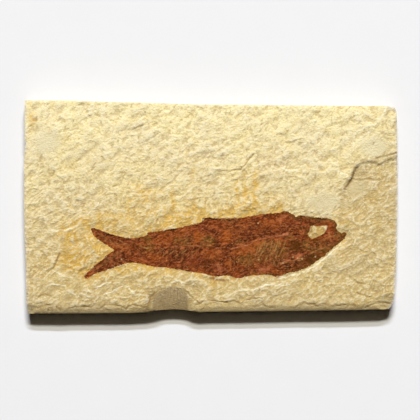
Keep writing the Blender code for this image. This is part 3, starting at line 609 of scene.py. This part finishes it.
def step_drop(x, y):
    away = line_distance(x, y, STEP_LINE)
    from_end = np.hypot(x - STEP_LINE[-1][0], y - STEP_LINE[-1][1])
    steep = bell(ellipse(x, y, *STEP_STEEP))
    riser = STEP_RISER * (1 - 0.35 * steep)
    drop = STEP_DROP * (0.85 + 0.55 * steep) * smooth(away / riser)
    drop = drop * (1 - smooth((away - STEP_SHELF) / STEP_FADE))
    drop = drop * smooth(from_end / STEP_END_FADE)
    drop = drop * smooth(line_distance(x, y, STEP_LINE[-1:] + STEP_CLOSE) / STEP_SIDE_FADE)
    trough = STEP_TROUGH * (0.2 + 1.2 * steep) * bell((away - 1) / 0.9)
    trough = trough * smooth(away / 0.7) * smooth(from_end / 2)
    return np.where(inside(x, y, STEP_LINE + STEP_CLOSE), drop + trough, 0)


def flake_drop(x, y):
    drop = np.zeros(np.shape(x))
    uneven = 0.9 * noise(x / 2.6, y / 1.9, 29) + 0.5 * noise(x / 1.1, y / 0.9, 30)
    for middle, half, reach, depth in FLAKES:
        across = np.clip(1 - ((x - middle) / half) ** 2, 0, 1)
        margin = reach * np.sqrt(across) - above_bottom(x, y) + uneven
        drop = np.maximum(drop, FLAKE_SHARE * depth * smooth(margin / FLAKE_RISER))
    return drop


def arris_drop(x, y):
    drop = np.zeros(np.shape(x))
    for edge, width, fall in ARRISES:
        part = np.clip(1 - line_distance(x, y, edge) / width, 0, 1)
        drop = np.maximum(drop, fall * (0.65 * part + 0.35 * part ** 3))
    for cx, cy, reach, fall in CORNERS:
        part = np.clip(1 - np.hypot(x - cx, y - cy) / reach, 0, 1)
        drop = np.maximum(drop, fall * part)
    return drop


def notch_drop(x, y):
    away = line_distance(x, y, NOTCH_LINE)
    cut = NOTCH_DEPTH * np.clip((NOTCH_TOP - y) / NOTCH_REACH, 0.02, 1.1)
    flank = NOTCH_FLANK * away * (1 - 0.55 * smooth((x - SCOOP_END) / 3))
    scoop = np.minimum(cut, flank) - 0.12 * bell((cut - flank) / 0.25)
    return np.where(inside(x, y, NOTCH_LINE), np.maximum(scoop, 0), 0)


def scoop_share(x, y):
    """1 on the smooth sawn face of the notch, 0 outside it."""
    away = loop_distance(x, y, SCOOP)
    away = np.where(inside(x, y, SCOOP), away, -away)
    return smooth(0.5 + away / SCOOP_SOFT)


def face_share(y):
    """0 at the foot of the face, 1 at its top."""
    return np.clip((y + TONE_FOOT) / TONE_SPAN, 0, 1)


def fine_relief(x, y):
    """Flakes, leaves, scales, grains and crumbs that the coarse solids leave out."""
    wx, wy = warped(x, y, WARP, (WARP_PERIOD, WARP_PERIOD), 21)
    height = LEDGE * steps_of(LEDGE_COUNT * fine_noise(wx, wy, LEDGE_PERIODS, 25))
    height += LEAF * steps_of(LEAF_COUNT * fine_noise(wx, wy, LEAF_PERIODS, 28))
    height += SCALY * facets(wx, wy, SCALY_PERIODS, 23)
    height += SCALY * 0.5 * fine_noise(wx, wy, SCALY_PERIODS, 24)
    height += GRAINY * facets(wx, wy, GRAINY_PERIODS, 26)
    height = height * (1 + 0.55 * noise(x / 15, y / 11, 40))
    height += LIP * lip_lines(wx, wy)
    calm = calmness(x, y)
    crumbs = CRUMB * fine_noise(x, y, CRUMB_PERIODS, 27) * (0.4 + 0.6 * calm)
    height = height * calm * smoothed(x, y, QUIET_PATCHES) + crumbs
    return height * (1.38 - 0.42 * face_share(y))


def lip_lines(x, y):
    """Thin curved lips where leaves of stone end: 1 on a lip, 0 elsewhere."""
    total = np.zeros(np.shape(x))
    for periods, seed in (((9, 5.5), 33), ((6, 3.8), 35)):
        contour = bell(fine_noise(x, y, periods, seed) / LIP_WIDTH)
        broken = smooth(3 * fine_noise(x, y, (4.5, 3.5), seed + 1) - 0.2)
        total = np.maximum(total, contour * broken)
    return total


def crack_depth(x, y):
    depth = np.maximum(strokes(x, y, CRACKS), SEAM_FALL * line_field(x, y, SEAMS, SEAM_HALF))
    depth = np.maximum(depth, PIT_FALL * pit_field(x, y))
    return depth - CREST_RISE * line_field(x, y, CRESTS, CREST_HALF)


def pit_field(x, y):
    """Small scattered hollows, mostly lying along the grain: 1 in the middle of a hollow."""
    dice = np.random.RandomState(PIT_SEED)
    total = np.zeros(np.shape(x))
    for _ in range(PIT_COUNT):
        cx, cy = dice.uniform(-HALF_LENGTH, HALF_LENGTH), dice.uniform(-HALF_WIDTH, HALF_WIDTH)
        angle, long, wide = dice.normal(0.75, 0.5), dice.uniform(0.5, 1.5), dice.uniform(0.28, 0.5)
        near = (np.abs(x - cx) < 4) & (np.abs(y - cy) < 4)
        along, across = turned(x[near] - cx, y[near] - cy, angle)
        total[near] = np.maximum(total[near], np.exp(-(along / long) ** 2 - (across / wide) ** 2))
    return total


def texture_height(x, y):
    """Relief of the broken stone, calmer along the lower edge, without steps, flakes and chips."""
    hem = HEM_RELIEF + (1 - HEM_RELIEF) * smooth((above_bottom(x, y) - 1.2) / HEM)
    return (face_lumps(x, y) + fine_relief(x, y)) * hem + face_ridges(x, y) - crack_depth(x, y)


def stone_height(x, y):
    """Height of the split face, without the bed of the fish."""
    scooped = scoop_share(x, y)
    relief = texture_height(x, y) - step_drop(x, y) - flake_drop(x, y)
    notch = notch_drop(x, y) + 0.07 * noise(x / 0.9, y / 14, 31) * scooped
    level = THICKNESS + bedding_level(x, y)
    height = level + relief * (1 - scooped) - np.maximum(arris_drop(x, y), notch)
    return np.minimum(height, CAD_BOX[1][2] / MM - 0.01)


# ---- colour fields of the stone ----
def tone_and_painted_light_field(x, y):
    """0 on the darker stone, 1 on the palest: it grows up the face, partly the stone's own tone and partly
    painted light from above, but not below the step.
    """
    beside = smooth((x - 60 + 0.25 * (y + 20)) / 9)
    fold = STEP_LINE + [(62, 2), (55, -60), (120, -60)]
    below = np.where(inside(x, y, fold), smooth(line_distance(x, y, STEP_LINE) / 1.2 + 0.25), 0)
    tone_and_painted_light = face_share(y) - below * beside * np.clip(0.1 + 0.012 * (y + 30), 0, 0.55)
    tone_and_painted_light = tone_and_painted_light - 0.28 * smooth((x - 72) / 14) * smooth((y - 20) / 6)
    return np.clip(tone_and_painted_light + 0.07 * noise(x / 21, y / 17, 54), 0, 1)


def stain_field(x, y):
    total = sum(strength * np.exp(-ellipse(x, y, *place)) for *place, strength in STAINS)
    away = loop_distance(x, y, FISH_OUTLINE)
    halo = 0.45 * np.exp(-away / 4.5) + 0.4 * np.exp(-away / 0.9)
    total += halo * smooth((40 - x) / 14) * smooth((y + 36.5) / 6)
    patchy = 0.72 + 0.8 * noise(x / 3.2, y / 4.4, 51) + 0.65 * noise(x / 1.2, y / 1.7, 52)
    return np.clip(total * patchy, 0, 1.3)


def socket_rings(x, y):
    """Thin brown rings and flecks on the stone in the eye socket."""
    radius = np.hypot((x - EYE_CENTRE[0]) / 1.35, y - EYE_CENTRE[1]) + 0.25 * noise(x / 1.3, y / 1.3, 57)
    ring = 0.5 * bell((radius - 2.3) / 0.3) + 0.6 * bell((radius - 1.2) / 0.3)
    ring = ring * np.clip(0.6 + 1.5 * noise(x / 1.1, y / 1.1, 58), 0, 1)
    ring = ring + 0.9 * np.exp(-ellipse(x, y, 48.2, -10.6, 0.7, 1.3))
    return ring + 0.5 * bell(loop_distance(x, y, EYE) / 0.5)


def rim_field(x, y):
    """Paler grey along the left and right edges, and a painted highlight on the chipped upper right corner."""
    left, right = line_distance(x, y, LEFT_EDGE), line_distance(x, y, RIGHT_EDGE)
    rim = np.maximum(bell(right / 0.9), 0.7 * bell(left / 1.3))
    return np.maximum(rim, 1.5 * np.exp(-ellipse(x, y, 87.6, 47.6, 2.6, 1.4)))


def face_colours(x, y):
    in_eye = inside(x, y, EYE)
    broken = np.clip(0.9 + 0.9 * noise(x / 1.2, y / 1.2, 53), 0, 1.2)
    # The band along the lower edge is painted darker, as painted shade on the arris that faces away from the
    # light.
    return {"scoop": scoop_share(x, y), "hem": 1 - smooth((above_bottom(x, y) - 0.8) / 3.2),
            "rim": rim_field(x, y), "shade": strokes(x, y, SHADES), "smudge": strokes(x, y, SMUDGES) * broken,
            "stain": stain_field(x, y), "eye": 0.8 * in_eye, "ring": in_eye * socket_rings(x, y),
            "pit": pit_field(x, y), "painted_crest_shading": line_field(x, y, CRESTS, CREST_HALF),
            "seam": line_field(x, y, SEAMS, SEAM_HALF),
            "bare": np.clip(1.15 * (1 - calmness(x, y)), 0, 1)}


# ---- mesh helpers ----
def add_object(name, mesh, material, body="root"):
    piece = bpy.data.objects.new(name, mesh)
    bpy.context.scene.collection.objects.link(piece)
    mesh.materials.append(material)
    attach(piece, body)
    return piece


def set_attributes(mesh, fields):
    """Store values on the points; a shorter field is 0 on the points after it."""
    for name, values in fields.items():
        padded = np.zeros(len(mesh.vertices), dtype=np.float32)
        padded[:len(values)] = values
        mesh.attributes.new(name, "FLOAT", "POINT").data.foreach_set("value", padded)


def finish_mesh(work, mesh, sharp):
    bmesh.ops.recalc_face_normals(work, faces=work.faces)
    work.to_mesh(mesh)
    work.free()
    mesh.shade_smooth()
    mesh.set_sharp_from_angle(angle=math.radians(sharp))


def fractions(span, step):
    return np.linspace(0, 1, max(2, round(span / step) + 1))


# ---- stone plate ----
def plate_plan():
    """Plan positions of the face's grid, rows by columns, fitted between the four edges."""
    u = fractions(2 * HALF_LENGTH, COLUMN_STEP)[None, :]
    v = fractions(2 * HALF_WIDTH, ROW_STEP)[:, None]
    x = -HALF_LENGTH + 2 * HALF_LENGTH * u + 0 * v

    def edge_value(edge, by, at):
        ordered = sorted(edge, key=lambda p: p[by])
        return np.interp(at, [p[by] for p in ordered], [p[1 - by] for p in ordered])

    for _ in range(4):
        y = edge_value(BOTTOM_EDGE, 0, x) * (1 - v) + edge_value(TOP_EDGE, 0, x) * v
        x = edge_value(LEFT_EDGE, 1, y) * (1 - u) + edge_value(RIGHT_EDGE, 1, y) * u
    return x, y


def box_blur(field, cells):
    """The mean over a square round each cell, with the border repeated outwards."""
    width = 2 * cells + 1
    for _ in (0, 1):
        total = np.cumsum(np.pad(field, ((cells + 1, cells), (0, 0)), mode="edge"), axis=0)
        field = ((total[width:] - total[:-width]) / width).T
    return field


def side_rings(rim_x, rim_y, rim_z):
    """Rings of the sawn sides, from just under the face to the back, with laminae and saw marks."""
    ahead_x, ahead_y = np.roll(rim_x, -1) - np.roll(rim_x, 1), np.roll(rim_y, -1) - np.roll(rim_y, 1)
    length = np.hypot(ahead_x, ahead_y) + TINY
    in_x, in_y = -ahead_y / length, ahead_x / length
    run = np.cumsum(np.hypot(np.roll(rim_x, -1) - rim_x, np.roll(rim_y, -1) - rim_y))
    rings = []
    for k in range(1, SIDE_ROWS + 1):
        part = k / SIDE_ROWS
        z = rim_z * (1 - part)
        lamina = 0.05 + 0.05 * noise(run / 30, z / 0.9, 41)
        marks = 0.04 + 0.04 * noise(run / 1.1, z / 6, 42)
        chips = 0.35 * smooth((0.9 - z) / 0.9) * smooth(noise(run / 4, z * 0, 43) * 2)
        depth = (lamina + marks) * min(1, 3 * part) + chips
        rings.append((rim_x + in_x * depth, rim_y + in_y * depth, z))
    return rings


def back_patch():
    """A coarse, slightly uneven grid for the middle of the back."""
    columns, rows = (np.linspace(BACK_MARGIN - half, half - BACK_MARGIN, int(2 * half / BACK_STEP))
                     for half in (HALF_LENGTH, HALF_WIDTH))
    x, y = np.meshgrid(columns, rows)
    return x, y, np.maximum(0.12 + 0.12 * noise(x / 13, y / 9, 44), 0)


def grid_faces(grid):
    return np.stack([grid[:-1, :-1], grid[:-1, 1:], grid[1:, 1:], grid[1:, :-1]], axis=-1).reshape(-1, 4)


def make_slab(material):
    x, y = plate_plan()
    face_x, face_y = x.ravel(), y.ravel()
    z = stone_height(face_x, face_y)
    from_rim = np.minimum(loop_distance(face_x, face_y, FISH_OUTLINE), loop_distance(face_x, face_y, EYE))
    bed = THICKNESS + bedding_level(face_x, face_y) - BED_DROP
    sunk = np.where(in_fish(face_x, face_y, FISH_OUTLINE, EYE), smooth((from_rim - 0.25) / BED_RUN), 0)
    z = z * (1 - sunk) + np.minimum(z, bed) * sunk

    grid = np.arange(len(z)).reshape(x.shape)
    rim = np.concatenate([grid[0, :-1], grid[:-1, -1], grid[-1, :0:-1], grid[:0:-1, 0]])
    parts = [(face_x, face_y, z)] + side_rings(face_x[rim], face_y[rim], z[rim])
    loops = [rim] + [np.arange(len(rim)) + len(z) + k * len(rim) for k in range(SIDE_ROWS)]
    faces = [grid_faces(grid)]
    for upper, lower in zip(loops[:-1], loops[1:]):
        faces.append(np.stack([upper, lower, np.roll(lower, -1), np.roll(upper, -1)], axis=-1))
    back = back_patch()
    back_grid = np.arange(back[0].size).reshape(back[0].shape) + len(z) + SIDE_ROWS * len(rim)
    faces.append(grid_faces(back_grid)[:, ::-1])
    points = np.stack([np.concatenate([np.ravel(part[axis]) for part in parts + [back]]) for axis in (0, 1, 2)],
                      axis=-1)

    mesh = bpy.data.meshes.new("slab_stone")
    mesh.from_pydata((points * MM).tolist(), [], np.concatenate(faces).tolist())
    work = bmesh.new()
    work.from_mesh(mesh)
    open_edges = [edge for edge in work.edges if edge.is_boundary]
    bmesh.ops.triangle_fill(work, use_beauty=True, use_dissolve=False, edges=open_edges)
    finish_mesh(work, mesh, STONE_SHARP)

    # Painted shade in the hollows of the relief and painted highlight on its raised bits, at a broad and at a
    # small scale.
    field = texture_height(x, y)
    painted_relief_shading = (field - box_blur(box_blur(field, 3), 3)).ravel() / RELIEF_SHADING_SCALE
    fine = (field - box_blur(field, 1)).ravel() / FINE_SHADING_SCALE
    set_attributes(mesh, face_colours(face_x, face_y))
    set_attributes(mesh, {"painted_relief_shading": np.clip(painted_relief_shading, -1.5, 1.5), "fine": np.clip(fine, -1.5, 1.5),
                          "side": np.arange(len(points)) >= len(z), "tone_and_painted_light": tone_and_painted_light_field(*points.T[:2]),
                          "low": np.clip((NOTCH_TOP - points[:, 1]) / NOTCH_REACH, 0, 1)})
    slab = add_object("slab_stone", mesh, material)
    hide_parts("limestone_slab")


# ---- fish ----
def ragged(loop, step, seed):
    """The loop cut finely, with its points pushed in and out a little."""
    curve = curve_through(loop, 4, closed=True)
    fine = resample(curve + curve[:1], step)[:-1]
    x, y = (np.array([p[axis] for p in fine]) for axis in (0, 1))
    tx, ty = np.roll(x, -1) - np.roll(x, 1), np.roll(y, -1) - np.roll(y, 1)
    length = np.hypot(tx, ty) + TINY
    push = 0.28 * noise(x / 1.8, y / 1.8, seed) + 0.16 * noise(x / 0.8, y / 0.8, seed + 1)
    return list(zip(x - ty / length * push, y + tx / length * push))


def rib_lines(strength, half):
    lines = []
    for k in range(RIBS):
        x = RIB_START - k * RIB_PITCH + 0.45 * math.sin(5.1 * k)
        top = float(np.interp(x, [p[0] for p in SPINE[::-1]], [p[1] for p in SPINE[::-1]]))
        top -= 1.6 + 1.2 * math.sin(2.7 * k) ** 2
        long = RIB_LENGTH * (1 - 0.35 * k / RIBS) * (0.75 + 0.25 * math.sin(3.9 * k))
        lean = RIB_LEAN * (1 + 0.25 * math.sin(1.9 * k))
        line = [(x, top), (x - 0.3 * lean, top - 0.5 * long), (x - lean, top - long)]
        lines.append((line, strength, half))
    return lines


def ray_lines(strength, half):
    lines = []
    for outer, inner in TAIL_LOBES:
        for k in range(RAYS):
            tip = tuple(a + (b - a) * (k / (RAYS - 1)) for a, b in zip(outer, inner))
            start = tuple(a + (b - a) * 0.08 for a, b in zip(TAIL_ROOT, tip))
            lines.append(([start, tip], strength, half))
    return lines


def spine_relief(x, y):
    away, signed, run = line_place(x, y, curve_through(SPINE, 4))
    beads = 0.2 + 0.2 * np.abs(np.sin(math.pi * run / BEAD))
    ridge = beads * bell(away / 0.6) * (0.45 + 0.55 * smooth((30 - run) / 10))
    return ridge - 0.28 * bell((signed + 1.2) / 0.45) * smooth((run - 2) / 4)


def streak_field(x, y):
    """Fine strokes of bone and skin: along the body, and steeper where the ribs and muscles show."""
    x, y = warped(x, y, 0.9, (4, 3), 77)
    level, steep = (0.65 * grain_noise(x, y, (3.2, 0.85), seed, angle)
                    + 0.85 * grain_noise(x, y, (1.6, 0.48), seed + 1, angle)
                    for angle, seed in ((BODY_ANGLE, 67), (STROKE_ANGLE, 74)))
    share = np.clip(blobs(x, y, STROKED), 0, 1)
    return level * (1 - share) * 0.8 + steep * share


def scale_relief(x, y):
    wx, wy = warped(x, y, 0.8, (3, 3), 63)
    height = SCALES * (0.4 - 1.5 * np.abs(grain_noise(wx, wy, SCALE_PERIODS, 61)))
    height += 0.07 * steps_of(2.6 * fine_noise(wx, wy, (4.6, 2.6), 65))
    height += 0.05 * noise(x / 0.85, y / 0.75, 66)
    return height + 0.07 * streak_field(x, y)


def fish_relief(x, y):
    height = spine_relief(x, y) + scale_relief(x, y) + 0.1 * grain_noise(x, y, (4, 2.8), 62)
    for line, rise, half in BONES:
        height += 0.5 * rise * bell(line_distance(x, y, line) / (0.6 * half))
    height += strokes(x, y, rib_lines(0.09, 0.3))
    height += strokes(x, y, ray_lines(0.08, 0.26))
    height += strokes(x, y, PALE_LINES) * 0.1
    return height - 0.14 * strokes(x, y, DARK_LINES)


def fish_colours(x, y, rim, from_rim):
    patchy = 1 + 0.7 * noise(x / 1.5, y / 1.5, 69)
    broken = np.clip(0.75 + 1.3 * noise(x / 1.6, y / 1.3, 70), 0, 1.3)
    beads = np.clip(0.85 + 1.1 * noise(x / 0.9, y / 0.9, 85), 0.2, 1.2)
    rim_dark = 0.22 * bell(from_rim / 0.7) * smooth(0.5 + noise(x / 2.5, y / 2.5, 68))
    ribs = strokes(x, y, rib_lines(0.8, 0.22))
    ribs *= np.clip(1.2 * blobs(x, y, [RIB_PATCH]) + 0.1, 0, 1)
    rays = strokes(x, y, ray_lines(0.22, 0.22))
    border = bell(loop_distance(x, y, rim) / BORDER_WIDTH) * smooth((x - BORDER_START) / 9)
    border = np.clip(border + 0.8 * strokes(x, y, BROWN_LINES), 0, 1)
    wx = x + 1.5 * noise(x / 3.2, y / 2.4, 81) + 0.6 * noise(x / 1.3, y / 1.1, 83)
    wy = y + 1.2 * noise(x / 2.8, y / 2.2, 82) + 0.5 * noise(x / 1.2, y / 1.1, 84)
    # The last entry gives a painted highlight on the raised scales and painted shade between them.
    return {"olive": blobs(wx, wy, OLIVE) * patchy, "orange": blobs(wx, wy, ORANGE) * patchy,
            "rose": blobs(wx, wy, ROSE) * patchy, "maroon": blobs(wx, wy, MAROON) * (0.5 + 0.5 * patchy),
            "dark": blobs(wx, wy, DARK) * patchy + rim_dark + strokes(x, y, DARK_LINES),
            "pale": np.maximum(strokes(x, y, PALE_LINES), np.maximum(ribs, rays)) * broken,
            "pink": strokes(x, y, PINK_LINES) * beads,
            "border": border * np.clip(0.2 + 0.5 * patchy, 0, 1),
            "speck": blobs(x, y, [(cx, cy, SPECK_SIZE, SPECK_SIZE, 1) for cx, cy in SPECKS]),
            "plain": blobs(x, y, PLAIN), "streak": streak_field(x, y),
            "painted_crest_shading": np.clip((scale_relief(x, y) - 0.02) / 0.07, -1.5, 1.5)}


def fish_plan(rim, eye):
    """Plan points and triangles between the outline and the eye socket."""
    columns, rows = np.arange(-62, 66, FISH_STEP), np.arange(-36, 0, FISH_STEP)
    x, y = np.meshgrid(columns, rows)
    x = x + 0.5 * FISH_STEP * (np.arange(len(rows)) % 2)[:, None]
    keep = in_fish(x, y, rim, eye)
    points = rim + eye + list(zip(x[keep].tolist(), y[keep].tolist()))
    edges = [(k, (k + 1) % len(rim)) for k in range(len(rim))]
    edges += [(len(rim) + k, len(rim) + (k + 1) % len(eye)) for k in range(len(eye))]
    found = delaunay_2d_cdt([Vector(p) for p in points], edges, [], 0, 1e-4)
    plan, faces = np.array([tuple(p) for p in found[0]]), np.array(found[2])
    return plan, faces[in_fish(*plan[faces].mean(axis=1).T, rim, eye)]


def make_fish(material):
    rim, eye = ragged(FISH_OUTLINE, 0.4, 71), ragged(EYE, 0.4, 73)
    plan, faces = fish_plan(rim, eye)
    x, y = plan.T
    from_rim = np.minimum(loop_distance(x, y, rim), loop_distance(x, y, eye))
    inner = smooth(from_rim / 1.2)
    edge_z = stone_height(x, y) + RIM_RISE
    inner_z = THICKNESS + bedding_level(x, y) - FISH_SINK + fish_relief(x, y)
    z = edge_z * (1 - inner) + inner_z * inner

    mesh = bpy.data.meshes.new("fish_fossil")
    mesh.from_pydata((np.stack([x, y, z], axis=-1) * MM).tolist(), [], faces.tolist())
    set_attributes(mesh, fish_colours(x, y, rim, from_rim))
    work = bmesh.new()
    work.from_mesh(mesh)
    bmesh.ops.delete(work, geom=[v for v in work.verts if not v.link_faces], context="VERTS")
    outer = [edge for edge in work.edges if edge.is_boundary]
    grown = bmesh.ops.extrude_edge_only(work, edges=outer)["geom"]
    for vertex in grown:
        if isinstance(vertex, bmesh.types.BMVert):
            vertex.co.z -= FISH_SKIRT * MM
    foot = [edge for edge in grown if isinstance(edge, bmesh.types.BMEdge) and edge.is_boundary]
    bmesh.ops.triangle_fill(work, use_beauty=True, use_dissolve=False, edges=foot)
    finish_mesh(work, mesh, FISH_SHARP)
    fish = add_object("fish_fossil", mesh, material)
    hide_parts("fossil_fish")


# ---- materials ----
class Nodes:
    """Short names for building a material's nodes."""

    def __init__(self, name):
        self.material = bpy.data.materials.new(name)
        self.material.use_nodes = True
        self.tree = self.material.node_tree
        self.shader = self.tree.nodes["Principled BSDF"]

    def put(self, socket, value):
        if isinstance(value, bpy.types.NodeSocket):
            self.tree.links.new(value, socket)
        else:
            socket.default_value = (*value, 1) if isinstance(value, tuple) else value

    def add(self, kind, output, **inputs):
        node = self.tree.nodes.new("ShaderNode" + kind)
        for name, value in inputs.items():
            self.put(node.inputs[name.replace("_", " ")], value)
        return node.outputs[output]

    def position(self):
        return self.add("TexCoord", "Object")

    def scaled(self, scale, angle=0):
        node = self.tree.nodes.new("ShaderNodeMapping")
        self.put(node.inputs["Vector"], self.position())
        node.inputs["Scale"].default_value = scale
        node.inputs["Rotation"].default_value = (0, 0, angle)
        return node.outputs["Vector"]

    def noise(self, vector, scale, detail, rough, distortion=0):
        return self.add("TexNoise", "Fac", Vector=vector, Scale=scale, Detail=detail, Roughness=rough,
                        Distortion=distortion)

    def attribute(self, name):
        node = self.tree.nodes.new("ShaderNodeAttribute")
        node.attribute_name = name
        return node.outputs["Fac"]

    def math(self, operation, a, b=0):
        node = self.tree.nodes.new("ShaderNodeMath")
        node.operation = operation
        self.put(node.inputs[0], a)
        self.put(node.inputs[1], b)
        return node.outputs[0]

    def remap(self, value, low, high, top=1):
        """0 at low, growing to top at high."""
        return self.add("MapRange", "Result", Value=value, From_Min=low, From_Max=high, To_Max=top)

    def mix(self, factor, a, b):
        node = self.tree.nodes.new("ShaderNodeMix")
        node.data_type = "RGBA"
        for place, value in ((0, factor), (6, a), (7, b)):
            self.put(node.inputs[place], value)
        return node.outputs[2]

    def blend(self, colour, layers):
        """Lay tints where values run from low to high: (value, low, high, most, tint)."""
        for value, low, high, most, tint in layers:
            colour = self.mix(self.remap(value, low, high, most), colour, tint)
        return colour

    def paint(self, colour, layers):
        """Lay tints where attributes say: (attribute, factor, tint)."""
        for name, factor, tint in layers:
            colour = self.mix(self.math("MULTIPLY", self.attribute(name), factor), colour, tint)
        return colour

    def finish(self, colour, roughness, specular=None, height=None, bump=0):
        self.put(self.shader.inputs["Base Color"], colour)
        self.shader.inputs["Roughness"].default_value = roughness
        if height is not None:
            self.shader.inputs["Specular IOR Level"].default_value = specular
            normal = self.add("Bump", "Normal", Strength=1, Distance=bump, Height=height)
            self.put(self.shader.inputs["Normal"], normal)
        return self.material


def stone_material():
    n = Nodes("split_limestone")
    grain = n.scaled((1, 1, 1), -FINE_ANGLE)
    broad = n.noise(grain, 60, 3, 0.6)
    mottle = n.noise(grain, 230, 5, 0.62, 0.5)
    fleck = n.noise(grain, 620, 4, 0.65, 0.3)
    speck = n.noise(grain, 1400, 3, 0.7)
    tone_and_painted_light, painted_relief_shading, fine = n.attribute("tone_and_painted_light"), n.attribute("painted_relief_shading"), n.attribute("fine")
    # The tints run from the foot to the top of the face; the paler top is partly painted light from above.
    cream, greyer, ochre, bare, stain = (n.mix(tone_and_painted_light, low, high) for low, high in STONE_TINTS)
    colour = n.blend(cream, [(broad, 0.4, 0.62, 0.7, greyer), (mottle, 0.48, 0.7, 0.65, ochre),
                             (mottle, 0.44, 0.28, 0.6, greyer), (fleck, 0.54, 0.74, 0.55, ochre),
                             (speck, 0.56, 0.72, 0.6, (0.46, 0.33, 0.15)),
                             (speck, 0.44, 0.28, 0.6, (1, 0.93, 0.7))])
    colour = n.paint(colour, [("bare", 0.75, bare), ("stain", 1.3, stain)] + STONE_PAINTS)
    # Painted shade in the relief's hollows and painted highlight on its raised bits.
    colour = n.blend(colour, [(painted_relief_shading, 0, -1.3, 0.42, (0.42, 0.29, 0.13)),
                              (painted_relief_shading, 0.1, 1.3, 0.34, (0.97, 0.9, 0.68))])
    colour = n.paint(colour, [("rim", 0.55, (0.76, 0.7, 0.6))])
    # Painted highlight on the finest crests and painted shade in the finest hollows.
    colour = n.blend(colour, [(fine, 0.2, 1.4, 0.1, (1, 0.94, 0.72)),
                              (fine, -0.2, -1.4, 0.1, (0.4, 0.28, 0.12))])
    # The sawn scoop is darker than the face, partly its own colour and partly painted shade standing in for a
    # steeper cut; it is darker still towards its foot.
    saw = n.noise(n.scaled((1, 0.05, 1)), 1500, 3, 0.6)
    scoop = n.mix(n.remap(saw, 0.34, 0.66), (0.4, 0.29, 0.15), (0.66, 0.51, 0.295))
    scoop = n.mix(n.attribute("low"), scoop, n.mix(0.85, scoop, (0.245, 0.172, 0.078)))
    sawn = n.noise(n.scaled((0.25, 0.25, 3)), 420, 4, 0.6)
    side = n.mix(sawn, (0.3, 0.24, 0.138), (0.46, 0.38, 0.24))
    # The first tint is a painted highlight along the flake edges.
    colour = n.paint(colour, [("painted_crest_shading", 0.75, (1, 0.96, 0.74)), ("seam", 0.9, (0.33, 0.22, 0.09)),
                              ("scoop", 0.95, scoop), ("side", 1, side)])
    crease = n.math("ABSOLUTE", n.math("SUBTRACT", n.noise(grain, 700, 3, 0.6, 0.4), 0.5))
    height = n.math("ADD", n.noise(grain, 1150, 4, 0.62), n.math("MULTIPLY", crease, 1.6))
    return n.finish(colour, 0.93, 0.15, height, STONE_BUMP)


def fish_material():
    n = Nodes("iron_stained_bone")
    along = n.scaled((0.85, 1.5, 1), -BODY_ANGLE)
    patches = n.noise(along, 140, 3, 0.6, 0.5)
    mottle = n.noise(along, 480, 4, 0.62, 0.4)
    fleck = n.noise(along, 1400, 3, 0.65)
    sparkle = n.noise(along, 1500, 2, 0.6)
    streak, painted_crest_shading = n.attribute("streak"), n.attribute("painted_crest_shading")
    colour = n.mix(n.remap(patches, 0.43, 0.57), (0.106, 0.019, 0.005), (0.252, 0.049, 0.008))
    colour = n.paint(colour, FISH_STAINS)
    lighter = n.mix(0.74, colour, (0.545, 0.168, 0.054))
    darker = n.mix(0.7, colour, (0.054, 0.012, 0.003))
    # The scale relief lays a painted highlight on raised scales and painted shade between them; the mottle,
    # streaks and flecks are the bone's own colour.
    colour = n.blend(colour, [(mottle, 0.51, 0.64, 0.46, lighter), (mottle, 0.47, 0.35, 0.52, darker),
                              (painted_crest_shading, 0.1, 1.5, 0.75, lighter), (painted_crest_shading, 0, -1.3, 0.78, darker),
                              (streak, 0.1, 0.62, 0.84, lighter), (streak, -0.1, -0.62, 0.84, darker),
                              (fleck, 0.55, 0.7, 0.42, lighter), (fleck, 0.45, 0.32, 0.3, darker),
                              (sparkle, 0.6, 0.71, 0.55, (0.58, 0.33, 0.165)),
                              (sparkle, 0.4, 0.28, 0.3, (0.055, 0.014, 0.003))])
    return n.finish(n.paint(colour, FISH_PAINTS), 0.8, 0.03, n.noise(along, 1300, 4, 0.65), FISH_BUMP)


def floor_material():
    n = Nodes("pale_floor")
    paper = n.noise(n.position(), 60, 3, 0.5)
    return n.finish(n.mix(paper, (0.8, 0.816, 0.872), (0.82, 0.836, 0.892)), 0.9)


# ---- floor, light and camera ----
def make_floor():
    mesh = bpy.data.meshes.new("studio_floor")
    work = bmesh.new()
    bmesh.ops.create_grid(work, x_segments=8, y_segments=8, size=3.0)
    work.to_mesh(mesh)
    work.free()
    floor = bpy.data.objects.new("studio_floor", mesh)
    bpy.context.scene.collection.objects.link(floor)
    mesh.materials.append(floor_material())


def make_light(name, azimuth, elevation, size, watts, colour):
    """An area light aimed at the plate; azimuth 0 is above the top edge, and plus turns it to the right."""
    data = bpy.data.lights.new(name, "AREA")
    data.shape = "RECTANGLE"
    data.size, data.size_y = size
    data.energy = watts
    data.color = colour
    light = bpy.data.objects.new(name, data)
    a, e = math.radians(azimuth), math.radians(elevation)
    aim = Vector((math.sin(a) * math.cos(e), math.cos(a) * math.cos(e), math.sin(e)))
    light.location = aim * LIGHT_DISTANCE
    light.rotation_mode = "QUATERNION"
    light.rotation_quaternion = aim.to_track_quat("Z", "Y")
    light.visible_camera = False
    bpy.context.scene.collection.objects.link(light)


def make_world():
    world = bpy.data.worlds.new("studio_air")
    bpy.context.scene.world = world
    world.use_nodes = True
    background = world.node_tree.nodes["Background"]
    background.inputs["Color"].default_value = AIR_COLOUR
    background.inputs["Strength"].default_value = AIR_STRENGTH


def make_camera():
    data = bpy.data.cameras.new("camera")
    camera = bpy.data.objects.new("camera", data)
    bpy.context.scene.collection.objects.link(camera)
    view_side = IMAGE_SIDE * MM_PER_PIXEL * MM
    face = THICKNESS * MM
    data.sensor_width = SENSOR
    data.lens = SENSOR * (CAMERA_HEIGHT - face) / view_side
    data.clip_start = 0.05
    data.clip_end = 20
    camera.location = (VIEW_CENTRE[0] * MM, VIEW_CENTRE[1] * MM, CAMERA_HEIGHT)
    bpy.context.scene.camera = camera


bpy.context.scene.view_settings.view_transform = "Standard"
make_slab(stone_material())
make_fish(fish_material())
make_floor()
for light in LIGHTS:
    make_light(*light)
make_world()
make_camera()
